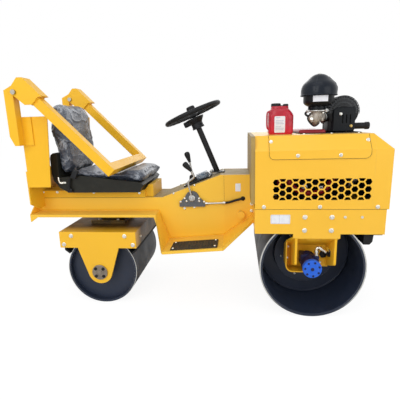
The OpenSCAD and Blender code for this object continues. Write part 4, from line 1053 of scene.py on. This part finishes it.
# side lobe, lug, rib, and the stub to the hose
elbow.ball(on_elbow(-37, 1069, -10), 13.5, 22)
elbow_pipe(elbow, ((-30, 1086, -14), (-40, 1076, -12), (-41, 1064, -12), (-30, 1050, -12)), 6, 8.5, 14)
elbow.box(on_elbow(18, 1052, -8), on_elbow(29, 1070, 2), 3)
elbow_pipe(elbow, ((2, 1100, -31), (2, 1080, -33), (-4, 1056, -29), (-11, 1038, -17)), 6, 2.8, 10)
elbow_pipe(elbow, ((0, 1070, 8), (20, 1074, 34), (34, 1076, 60)), 6, 23.5, 24)
elbow.done("intake_casting", "cast", angle=55, replaces=("intake_elbow",))
hose = Shape()
spots = ((-38, 1096), (-41, 1088), (-49, 1077), (-49.5, 1064), (-39, 1047), (-26, 1034), (-14, 1027.5),
         (0, 1034), (10, 1046))
elbow_pipe(hose, [(x, z, 8) for x, z in spots], 5, 5, 12)
elbow_pipe(hose, ((-61, 1102, 2), (-66, 1094, 0), (-60, 1085, -4), (-48, 1079, -6)), 5, 5.8, 12)
spots = ((30, 1075, 52), (52, 1077, 92), (74, 1074, 150), (84, 1066, 200), (90, 1058, 236))
elbow_pipe(hose, spots, 7, 26, 24)
hose.done("intake_hose", "rubber", angle=60)
clips = Shape()
for spot, along in (((33, 1075.6, 58), (0.35, 0.94, 0.02)), ((82, 1068, 190), (0.2, 0.97, -0.15))):
    profile = [(26.2, -5), (27.5, -4), (27.5, 4), (26.2, 5)]
    clips.lathe(profile, frame_at(on_elbow(*spot), along), 32, solid=False)
clips.done("intake_clips", "steel")
fasteners.bolt(on_elbow(-36, 1066, -22), (-0.3, -1, 0.1), 8.2)
fasteners.bolt(on_elbow(20, 1096, -30), (0.4, -1, 0), 5)

# muffler: round can, perforated guard, slotted cover plate and tail pipe
low, high = corners("muffler")
mx, mr = 190, 88
mz = high.z - mr
my0, my1, foot_z = low.y, high.y, low.z
depth = my1 - my0 - 9
can = Shape()
profile = [(mr - 12, 0), (mr - 6, 2), (mr - 3, 6), (mr - 3, 10), (mr - 6, 13), (mr - 6, depth - 13),
           (mr - 3, depth - 10), (mr - 3, depth - 5), (mr - 8, depth)]
can.lathe(profile, frame_at((mx, my0 + 9, mz), (0, 1, 0)), 72)
can.box((mx - mr + 12, my0 + 12, foot_z), (mx + mr - 22, my1 - 2, mz - 20), 8, segments=3)
can.done("muffler_can", "muffler", replaces=("muffler",))

# perforated guard over the can's side and front: each cell is a frame round a slanted slot
COLUMNS, SIDE_ROWS, FACE_ROWS = 20, 5, 3
ROWS = SIDE_ROWS + FACE_ROWS
GUARD_T, EYE_R = 1.2, 34
SLOT_CORNERS = ((-1, -1), (1, -1), (1, 1), (-1, 1))
sweep0, sweep1 = math.radians(186), math.radians(-8)
guard_front, guard_back = my0 + 8.2, my1 - 2
part = bmesh.new()


def guard_vert(u, v, lift):
    """A point of the guard: over the can's side for the first rows, then inwards over its front."""
    a = sweep0 + (sweep1 - sweep0) * u / COLUMNS
    r = mr - 1.4 + lift - (mr - EYE_R) * max(0, v - SIDE_ROWS) / FACE_ROWS
    y = guard_back + (guard_front - lift - guard_back) * min(v, SIDE_ROWS) / SIDE_ROWS
    return part.verts.new((mx + r * math.cos(a), y, mz + r * math.sin(a)))


def guard_skin(lift):
    """One skin's vertices: the cells' corners, and the corners of the slots in them."""
    posts = {(i, j): guard_vert(i, j, lift) for i in range(COLUMNS + 1) for j in range(ROWS + 1)}
    slots = {}
    for i in range(COLUMNS):
        for j in range(ROWS):
            lean = 0.30 if (i + j) % 2 else -0.30
            slots[i, j] = [
                guard_vert(i + 0.5 + 0.5 * (u * 0.58 + lean * v), j + 0.5 + 0.5 * v * 0.80, lift)
                for u, v in SLOT_CORNERS
            ]
    return posts, slots


def cell(posts, i, j):
    return [posts[i, j], posts[i + 1, j], posts[i + 1, j + 1], posts[i, j + 1]]


inner, inner_slots = guard_skin(0.0)
outer, outer_slots = guard_skin(GUARD_T)
for i in range(COLUMNS):
    for j in range(ROWS):
        ring_in, ring_out = cell(inner, i, j), cell(outer, i, j)
        slot_in, slot_out = inner_slots[i, j], outer_slots[i, j]
        for q in range(4):
            w = (q + 1) % 4
            part.faces.new((ring_out[q], ring_out[w], slot_out[w], slot_out[q]))
            part.faces.new((ring_in[w], ring_in[q], slot_in[q], slot_in[w]))
            part.faces.new((slot_out[q], slot_out[w], slot_in[w], slot_in[q]))
edges = [((0, j), (0, j + 1)) for j in range(ROWS)] + [((COLUMNS, j + 1), (COLUMNS, j)) for j in range(ROWS)]
edges += [((i + 1, 0), (i, 0)) for i in range(COLUMNS)] + [((i, ROWS), (i + 1, ROWS)) for i in range(COLUMNS)]
for a, b in edges:
    part.faces.new((inner[a], inner[b], outer[b], outer[a]))
guard = Shape()
guard.add(part)
guard.done("muffler_guard", "guard", angle=60)

# cover plate: a pan whose face is cut from strips, so that its slots are open
PLATE_T = 3
plate = Shape()
face = [(mx - 50, foot_z + 4), (mx + 58, foot_z + 4), (mx + 64, foot_z + 12), (mx + 64, mz + 18),
        (mx - 36, mz + 18), (mx - 50, mz + 6)]
rim = [(mx - mr + 10, foot_z + 2), (mx + 62, foot_z + 2), (mx + 68, foot_z + 10), (mx + 68, mz + 38),
       (mx - 44, mz + 38), (mx - mr + 10, mz + 18)]


def pan_ring(outline, y, shrink):
    """The outline in a plane, drawn in towards the plate's middle."""
    cx, cz = mx + 5, mz - 20
    return [(x - math.copysign(shrink, x - cx), y, z - math.copysign(shrink, z - cz)) for x, z in outline]


def strip(outline):
    plate.prism(outline, my0, my0 + PLATE_T, XZ)


def bar(x0, x1, z0, z1):
    strip([(x0, z0), (x1, z0), (x1, z1), (x0, z1)])


plate.add(loft([pan_ring(face, my0, 0), pan_ring(rim, my0 + 26, 0), pan_ring(rim, my0 + 26, 2.5),
                pan_ring(face, my0 + PLATE_T, 2.5)], wrap=True))
cuts = [mx - 6 + 20 * i for i in range(3)]
slot_w, slot_z0, slot_z1 = 7.5, mz - 64, mz - 16
z0, z1 = foot_z + 4, mz + 18
strip([face[0], (cuts[0], z0), (cuts[0], z1), face[4], face[5]])
strip([(cuts[2] + slot_w, z0), face[1], face[2], face[3], (cuts[2] + slot_w, z1)])
for i, cut in enumerate(cuts):
    if cut < cuts[-1]:
        bar(cut + slot_w, cuts[i + 1], z0, z1)
    bar(cut, cut + slot_w, z0, slot_z0)
    bar(cut, cut + slot_w, slot_z1, z1)
plate.done("muffler_cover", "cover", angle=30)
fasteners.bolt((mx - 14, my0, mz - 12), RIGHT, 7.8)
brass = Shape()
brass.bolt((mx + 44, my0, mz - 79), RIGHT, 7.8)
brass.done("muffler_cover_screw", "brass")

low, high = corners("tail_pipe")
length, r = high.x - low.x, (high.y - low.y) / 2
pipe_y, pipe_z = (low.y + high.y) / 2, (low.z + high.z) / 2
pipe_m = frame_at((low.x, pipe_y, pipe_z), FORWARD)
pipe = Shape()
pipe.lathe([(r - 3, 0), (r - 3, length - 24), (r - 0.5, length - 22), (r, length - 20), (r, length - 2),
            (r - 1.5, length), (r - 4, length), (r - 4.5, length - 2), (r - 6, length - 50),
            (0, length - 52)], pipe_m, 40, solid=False)
pipe.lathe([(r + 6, -4), (r + 6, 6)], pipe_m, 32)
pipe.done("tail_pipe_tube", "muffler", replaces=("tail_pipe",))
angles = [math.radians(degrees) for degrees in (120, 240, 0)]
spots = [(low.x + 6, pipe_y + 31 * math.cos(a), pipe_z + 31 * math.sin(a)) for a in angles]
fasteners.bolts(spots, FORWARD, 5)

# ---------- engine behind the honeycomb ----------

block_y = corners("engine_block")[0].y
parts = Shape()
for x, z, r, d in ((-95, 690, 62, 30), (20, 735, 46, 40), (112, 700, 70, 34)):
    profile = [(r, 0), (r, d / 2.5), (r / 1.25, d / 1.6), (r / 1.25, d / 1.2), (r, d / 1.05), (r, d)]
    parts.lathe(profile, frame_at((x, block_y, z), RIGHT), 32)
profile = [(112, 0), (128, 0), (132, 12), (128, 30), (118, 34), (112, 30)]
parts.lathe(profile, frame_at((10, -152, 752), RIGHT), 48, solid=False)
parts.box((-140, -160, 640), (215, -130, 668), 4)
for i in range(9):
    parts.box((-60 + 12 * i, -150, 770), (-55 + 12 * i, -130, 850), 1, segments=1)
parts.done("engine_pulleys", "engine")
shroud = Shape()
shroud.box((-176, -186, 700), (-150, -150, 800), 8)
shroud.pipe([(-150, -170, 800), (-132, -200, 760), (-97, -206, 706), (-53, -206, 678), (6, -206, 666),
             (54, -206, 674), (90, -206, 699), (120, -200, 742), (150, -176, 800)], 8, 15.5)
shroud.done("engine_shroud", "red", angle=50)
hoses = Shape()
hoses.pipe([(-160, -190, 650), (-120, -206, 690), (-110, -200, 760), (-60, -206, 800), (10, -206, 815),
            (90, -200, 800), (140, -206, 740), (190, -190, 700)], 8, 7.5, 10)
hoses.pipe([(150, -200, 650), (175, -214, 700), (205, -210, 760), (228, -190, 810)], 8, 14)
hoses.done("engine_hoses", "rubber", angle=60)
fittings = Shape()
for x, z in ((216, 775), (240, 745), (236, 800), (-30, 700), (60, 690), (-70, 760)):
    fittings.lathe([(16, 0), (16, 10), (9, 12), (9, 22)], frame_at((x, -196, z), RIGHT), 20)
fittings.box((205, -170, 690), (252, -130, 830), 6)
fittings.pipe([(216, -200, 800), (236, -214, 782), (246, -206, 740)], 6, 6, 10)
fittings.done("engine_fittings", "steel", angle=50)
# dark sheet that parts the bay lengthwise, as painted shade standing in for the dark inside of the bay, so
# that nothing is seen straight through
sheet = Shape()
x0, x1 = frame_low.x + 30, frame_high.x - 30
sheet.box((x0, -3, FRAME_TOP + 4), (x1, 3, HOOD_TOP - 110), 1)
for i in range(7):
    x = x0 + 20 + i * (x1 - x0 - 40) / 6
    sheet.box((x - 6, -9, FRAME_TOP + 10), (x + 6, 9, HOOD_TOP - 120), 3)
sheet.done("engine_bay_shade_sheet", "engine")
# oil cooler behind the front panel: a finned core in its frame
cooler = Shape()
x, y = frame_high.x - 52, HALF - 42
cooler.box((x, -y, FRAME_TOP + 8), (x + 14, y, HOOD_TOP - 112), 3)
for i in range(24):
    z = FRAME_TOP + 20 + i * (HOOD_TOP - FRAME_TOP - 146) / 23
    cooler.box((x - 5, 8 - y, z - 2), (x + 19, y - 8, z + 2), 0.8, segments=1)
cooler.done("cooler_core", "engine")

# ---------- drive motors and front drum ----------

END = corners("drive_motors")[1].y
# half distance between the brackets' back plates
BACK = 198
DEEP = END - BACK


def drive_motor(side, hand):
    """A motor with its screws, fitting and hose, lying in its drum bracket."""
    out = (0, side, 0)
    # local X along X, local Y up, local Z out of the machine, from the motor's end
    m = Matrix(((1, 0, 0, 0), (0, 0, side, side * END), (0, 1, 0, AXLE_Z), (0, 0, 0, 1)))
    cap = Shape()
    cap.lathe([(44.5, 0), (48.5, -1.2), (50, -4), (50, -27), (48.5, -30)], m, 56)
    cap.lathe([(30, 0), (31.5, 1), (33, 0)], m, 40, solid=False)
    cap.done("motor_cap_" + hand, "blue")
    screws = Shape()
    for i in range(7):
        at = m @ Matrix.Translation(polar(38.5, 2 * math.pi * i / 7 + math.radians(71.6)))
        screws.lathe([(6, -4), (6, 3), (5, 4), (3.2, 4), (3, 0.8)], at, 6)
    screws.lathe([(9.5, -4), (9.5, 1.6), (7, 2.4), (5.5, 1)], m, 16)
    screws.done("motor_screws_" + hand, "painted_shade_blue")
    body = Shape()
    body.lathe([(47.5, -29), (47.5, -36), (45, -38), (45, -82), (47, -84), (47, -92), (44, -94),
                (44, 20 - DEEP), (47.5, 16 - DEEP), (47.5, -DEEP)], m, 56)
    # port block over the body, and the blocks at its root
    body.prism(rounded(18, 10, 46, 50.5, 4), -94, -62, m, 1.5)
    body.prism(rounded(-47, 4, -16, 49, 5), 2 - DEEP, 70 - DEEP, m, 3)
    body.lathe([(18.5, 0), (18.5, 26), (16.5, 29)], m @ move(-12, 28, 40 - DEEP) @ spin(-70, "X"), 28)
    body.lathe([(25, -DEEP - 0.5), (25, 68 - END), (0, 68 - END)], m, 32, solid=False)
    body.done("motor_body_" + hand, "painted_shade_blue", replaces=("drive_motors",) if side < 0 else ())
    plug = Shape()
    plug.lathe([(7.5, 0), (7.5, 6), (5.5, 7.5)], m @ move(-34, 20, 70 - DEEP), 6)
    plug.done("motor_plug_" + hand, "brass")
    # elbow fitting and the short pressed hose
    fitting = Shape()
    spots = [m @ polar(40, math.radians(45 + 90 * i), -84) for i in range(4)]
    fitting.bolts(spots, out, 3.6, washer=False)

    def port(x, z, y=0.0):
        """A point counted from the port, with y out of the machine."""
        return Vector((33 + x, side * (280 + y), AXLE_Z + 49 + z))

    fitting.lathe([(12.5, 0), (12.5, 10), (11, 11), (8.8, 12), (8.8, 20), (12, 20), (12, 31)],
                  frame_at(port(0, 0), UP), 6)
    fitting.pipe([port(0, 28), port(0, 37), port(5, 45.5), port(14, 47), port(24, 42.5)], 6, 8.6, 16)
    fitting.lathe([(12, 0), (12, 12)], frame_at(port(17, 45.5), (0.86, 0, -0.51)), 6)
    fitting.lathe([(9.8, 0), (10.2, 3), (9.2, 6), (10.2, 9), (9.2, 12), (10.2, 15), (9.6, 30)],
                  frame_at(port(27, 40), (0.80, 0, -0.60)), 20)
    replaced = ("hose_fittings",) if side < 0 else ()
    fitting.done("motor_fitting_" + hand, "zinc", angle=40, replaces=replaced)
    hose = Shape()
    hose.pipe([port(48, 24), port(58, 16), port(66, 7, -4), port(72, -4, -16), port(74, -10, -40),
               port(72, -12, -78)], 6, 8.5, 14)
    hose.lathe([(22.5, 0), (22.5, 3), (19.5, 6)], frame_at((90, side * BACK, AXLE_Z + 28), out), 32)
    hose.done("motor_hose_" + hand, "hose", angle=60)
    # screws and weld beads of the back plate
    for x, z, size in ((-108, 72, 6.8), (-112, 4, 6.8), (74, -22, 6.2)):
        fasteners.bolt((x, side * BACK, AXLE_Z + z), out, size)
    for x in (-97, -83, 104, 118):
        weld([(x, side * (BACK + 0.4), AXLE_Z + z) for z in (-40, 98)], 2.2)


for side, hand in SIDES:
    drive_motor(side, hand)

hub_bolts = Shape()
hub_y = corners("front_drum_discs")[1].y
for side in (-1, 1):
    for r, count, start, size in ((140, 6, 187, 7.8), (60, 12, 0, 5)):
        for i in range(count):
            at = polar(r, math.radians(start + 360 * i / count))
            hub_bolts.domes([(at.x, side * hub_y, AXLE_Z + at.y)], (0, side, 0), size)
hub_bolts.done("front_hub_bolts", "steel", body="front_drum")
rings = Shape()
for side in (-1, 1):
    ring_m = frame_at((0, side * (hub_y - 40), AXLE_Z), (0, side, 0))
    rings.lathe([(263.5, -1), (263.5, 5), (260, 7.5), (256, 3), (252, -1)], ring_m, 96, solid=False)
    rings.lathe([(175, -1), (176.5, 5), (180, 2), (184, -1)], ring_m, 72, solid=False)
rings.done("front_disc_welds", "front_drum", body="front_drum", angle=60)

# ---------- yoke ----------

yoke_bolts = Shape()
flange = Shape()
flange_screws = Shape()
yoke_low, yoke_high = corners("yoke")
rear_x, rear_z = local(REAR).x, local(REAR).z
for side in (-1, 1):
    out = (0, side, 0)
    y = side * yoke_high.y
    spots = [(rear_x + x, y, rear_z + z) for x, z in ((-157, 224), (165, 224), (-206, 171), (211, 171))]
    yoke_bolts.bolts(spots, out, 11.5)
    m = frame_at((rear_x, y, rear_z), out, (1, 0, 0))
    flange.lathe([(44.5, 0), (46, 1.4), (46, 6.6), (44.5, 8), (18.5, 8), (18, 6), (12, 5.6), (11.5, 8),
                  (6, 8.6)], m, 56)
    for i in range(24):
        flange.box((22.5, -1, 7.8), (42, 1, 8.4), 0.2, m @ spin(15 * i), 1)
    for degrees in (45, 135, 225, 315):
        at = m @ Matrix.Translation(polar(32.5, math.radians(degrees)))
        flange_screws.lathe([(9.5, 7.8), (9.5, 12), (8, 12.8), (4.5, 12.8), (4.2, 10)], at, 14)
    flange.lathe([(25, 0), (25, 209 - yoke_high.y)], m, 32)
for end, x in ((-1, yoke_low.x), (1, yoke_high.x)):
    yoke_bolts.bolts([(x, y, rear_z + 197) for y in (-200, 200)], (end, 0, 0), 8.5)
spots = [(rear_x + x, y, yoke_high.z - 22) for y in (-88, 88) for x in (-60, 60)]
yoke_bolts.bolts(spots, UP, 9)
yoke_bolts.done("bolts_yoke", "zinc", body="rear_yoke")
flange.done("yoke_hub_flange", "hub_steel", body="rear_yoke", replaces=("yoke_hubs",))
flange_screws.done("yoke_hub_screws", "black", body="rear_yoke")

# ---------- seat ----------

# these four are in metres: a pad's voxels, how far the air moves its skin, its creases, and the room round it
VOXEL, QUICK_VOXEL = 0.0055, 0.009
MOST_MOVE = 0.014
CREASE = 0.0024
ROOM = 0.006


def apply(obj, modifier):
    bpy.ops.object.modifier_apply(modifier=modifier.name)


def pad_skin(side_line, half):
    """A pad from its side outline in millimetres, in metres, rounded across towards both ends."""
    outline = [(FRONT.x + x / 1000, z / 1000) for x, z in side_line]
    cx = sum(p[0] for p in outline) / len(outline)
    cz = sum(p[1] for p in outline) / len(outline)
    columns, power = 26, 5.0
    rings = []
    for j in range(columns + 1):
        t = -1 + 2 * j / columns
        k = (1 - abs(t) ** power) ** (1 / power) if abs(t) < 1 else 0.0
        k = 0.30 + 0.70 * k
        rings.append([(cx + (x - cx) * (0.93 + 0.07 * k), half * t, cz + (z - cz) * k) for x, z in outline])
    part = loft(rings)
    bmesh.ops.recalc_face_normals(part, faces=part.faces)
    return part


def fill(obj):
    """Blows the pad up like a cushion with a cloth simulation, by no more than MOST_MOVE."""
    rest = [v.co.copy() for v in obj.data.vertices]
    cloth = obj.modifiers.new("fill", "CLOTH")
    cloth.settings.quality = 5
    cloth.settings.mass = 0.3
    cloth.settings.use_pressure = True
    cloth.settings.uniform_pressure_force = 3.5
    cloth.settings.tension_stiffness = 12
    cloth.settings.compression_stiffness = 12
    cloth.settings.bending_stiffness = 0.4
    cloth.settings.effector_weights.gravity = 0
    cloth.collision_settings.use_collision = False
    for frame_number in range(1, 21):
        scene.frame_set(frame_number)
    apply(obj, cloth)
    scene.frame_set(1)
    for v, start in zip(obj.data.vertices, rest):
        step = v.co - start
        if step.length > MOST_MOVE:
            v.co = start + step * (MOST_MOVE / step.length)


def crease(obj, seed):
    """Creases like those of film drawn over vinyl."""
    normals = [v.normal.copy() for v in obj.data.vertices]
    shift = Vector((seed * 3.1, seed * 1.7, seed * 0.9))
    for v, normal in zip(obj.data.vertices, normals):
        p = v.co + shift
        sway = Vector((0, noise.noise(p * 6) * 1.4, 0))
        a = 1 - min(1, abs(noise.noise(Vector((p.x * 9, p.y * 7, p.z * 9)) + sway)) * 5)
        b = 1 - min(1, abs(noise.noise(Vector((p.x * 24, p.y * 17, p.z * 24)))) * 5)
        v.co += normal * CREASE * (a * a + b * b * 0.16 - 0.30)


def hold(obj, node_name, roof):
    """Keeps the pad beside what is next to it, and under a line of (x, z) in millimetres."""
    low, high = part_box(node_name)
    for v in obj.data.vertices:
        v.co.y = min(max(v.co.y, low.y - ROOM), high.y + ROOM)
        x = (v.co.x - FRONT.x) * 1000
        for (xa, za), (xb, zb) in zip(roof, roof[1:]):
            if xa <= x <= xb:
                v.co.z = min(v.co.z, (za + (zb - za) * (x - xa) / (xb - xa)) / 1000)


def smooth_pad(node_name, side_line, seed, roof=()):
    """A soft pad in place of a CAD node."""
    mesh = bpy.data.meshes.new(node_name + "_pad")
    part = pad_skin(side_line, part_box(node_name)[1].y - ROOM)
    part.to_mesh(mesh)
    part.free()
    obj = bpy.data.objects.new(node_name + "_pad", mesh)
    scene.collection.objects.link(obj)
    bpy.context.view_layer.objects.active = obj
    for other in bpy.context.selected_objects:
        other.select_set(False)
    obj.select_set(True)
    remesh = obj.modifiers.new("voxels", "REMESH")
    remesh.mode = "VOXEL"
    remesh.voxel_size = VOXEL
    apply(obj, remesh)
    fill(obj)
    finer = obj.modifiers.new("finer", "SUBSURF")
    finer.levels = 1
    apply(obj, finer)
    crease(obj, seed)
    hold(obj, node_name, roof)
    obj.data.polygons.foreach_set("use_smooth", [True] * len(obj.data.polygons))
    obj.data.materials.clear()
    obj.data.materials.append(MATS["vinyl"])
    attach(obj, "chassis")
    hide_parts(node_name)


smooth_pad("seat_cushion", [
    (-1360, 776), (-1326, 784), (-1200, 769), (-1060, 752), (-958, 741), (-936, 752), (-921, 768),
    (-919, 778), (-940, 789), (-984, 795), (-1036, 793), (-1080, 781), (-1120, 780), (-1210, 790),
    (-1332, 803), (-1360, 796),
], 1, ((-1400, 818), (-1212, 802), (-1130, 787), (-1074, 787), (-1038, 804), (-900, 800)))
smooth_pad("seat_backrest", [
    (-1434, 778), (-1402, 776), (-1384, 786), (-1381, 814), (-1385, 900), (-1391, 1000), (-1398, 1080),
    (-1405, 1158), (-1417, 1190), (-1438, 1203), (-1461, 1194), (-1471, 1164), (-1463, 1060), (-1450, 970),
    (-1438, 905), (-1436, 840),
], 2)

# belt buckle on its stalk, and the recliner's bracket
low, high = corners("belt_buckle")
buckle = Shape()
tilt = move(high.x - 30, low.y + 9, low.z + 104) @ spin(28, "Y")
buckle.box((-16, -7.5, -20), (16, 7.5, 34), 5, tilt, 3)
buckle.box((-13, -8.5, 12), (13, 8.5, 30), 3, tilt)
buckle.pipe([low + Vector(step) for step in ((16, 10, 6), (12, 8, 40), (20, 9, 84))], 6, 7)
buckle.box(low + Vector((2, 4, 0)), low + Vector((30, 16, 22)), 3)
buckle.done("belt_buckle_body", "plastic", replaces=("belt_buckle",))
bracket = Shape()
at = corners("seat_shell")[0] + Vector((40, -2, 60))
bracket.box(at + Vector((4, -4, -4)), at + Vector((46, 3, 6)), 1.6)
hook = ((0, -2, 34), (3, -4, 14), (10, -4, 2), (28, -3, -2))
bracket.pipe([at + Vector(step) for step in hook], 5, 4.4, 10)
bracket.done("seat_bracket", "zinc")

# ---------- steering wheel and column head ----------

turn = next(joint for joint in frame["joints"] if joint["name"] == "steering_wheel_turn")
STEER = frame_at(local(turn["pos_m"]), turn["axis"], (0.927, 0, 0.375))
RIM_R, RIM_Z, RIM_FAT = 166.5, 21, 13.4


def rim_ring(a, n=16):
    """A ring round the rim at an angle, with the finger bumps inside and below."""
    wave = 0.5 + 0.5 * math.cos(a * 24)
    ring = []
    for k in range(n):
        b = 2 * math.pi * k / n
        inside = max(0.0, math.cos(b - math.pi * 1.22))
        r = RIM_FAT * (0.97 - 0.13 * inside * (1 - wave))
        ring.append(polar(RIM_R + r * math.cos(b), a, RIM_Z + r * math.sin(b)))
    return ring


wheel = Shape()
wheel.add(loft([rim_ring(2 * math.pi * i / 144) for i in range(144)], wrap=True), STEER)
spoke = ((20, 6, 17), (60, 8.5, 14), (110, 13.5, 11), (156, 18.5, 12.5))
section = ((-1, -1.5), (-0.8, -5), (0.8, -5), (1, -1.5), (0.8, 5), (-0.8, 5))
for degrees in (90, 210, 330):
    rings = [[(u, y * half_w, z + rise) for y, rise in section] for u, z, half_w in spoke]
    wheel.add(loft(rings), STEER @ spin(degrees))
wheel.lathe([(10.8, -22), (10.8, 0), (43, 0), (44.8, 1.8), (44.8, 8.5), (40, 11.2), (32, 15), (26.2, 22),
             (25, 32), (25, 60), (23, 64.8), (14, 66.8), (0, 67)], STEER, 48)
for i in range(20):
    wheel.box((24.5, -1.2, 36), (26.2, 1.2, 58), 0.5, STEER @ spin(18 * i), 1)
wheel.done("steering_wheel_rim", "grip", "black_plastic", "steering_wheel", 50, ("steering_wheel",))

head = Shape()
# the head ends a little under the wheel's hub
head.lathe([(37, -72), (37, -62), (35, -60), (35, -40), (37.2, -38), (40, -32), (50, -20), (56, -10),
            (56, -7.5), (53.5, -6.2)], STEER, 48)
for i in range(4):
    m = STEER @ spin(45 + 90 * i)
    head.bolt(m @ Vector((35.5, 0, -50)), m.to_3x3() @ Vector((1, 0, 0)), 4, washer=False)
head.lathe([(16.5, 20), (16.5, 50), (17.2, 53), (17.2, 70), (15, 75), (0, 76)],
           STEER @ move(0, 0, -24) @ spin(-90, "Y"), 32)
head.done("column_head_case", "plastic", angle=45, replaces=("column_head",))
foot = Shape()
foot_m = move(-521, 0, 763)
foot.box((-46, -40, 0.1), (46, 40, 6.2), 2, foot_m)
fasteners.bolts([foot_m @ Vector((x, y, 6.2)) for y in (-30, 30) for x in (-36, 36)], UP, 6.2)
foot.done("column_foot", "black")

# ---------- what was gathered, and the end ----------

fasteners.done("bolts_chassis", "zinc")
seams.done("joint_lines", "rubber", "black_paint")
welds.done("weld_beads", "yellow", angle=60)
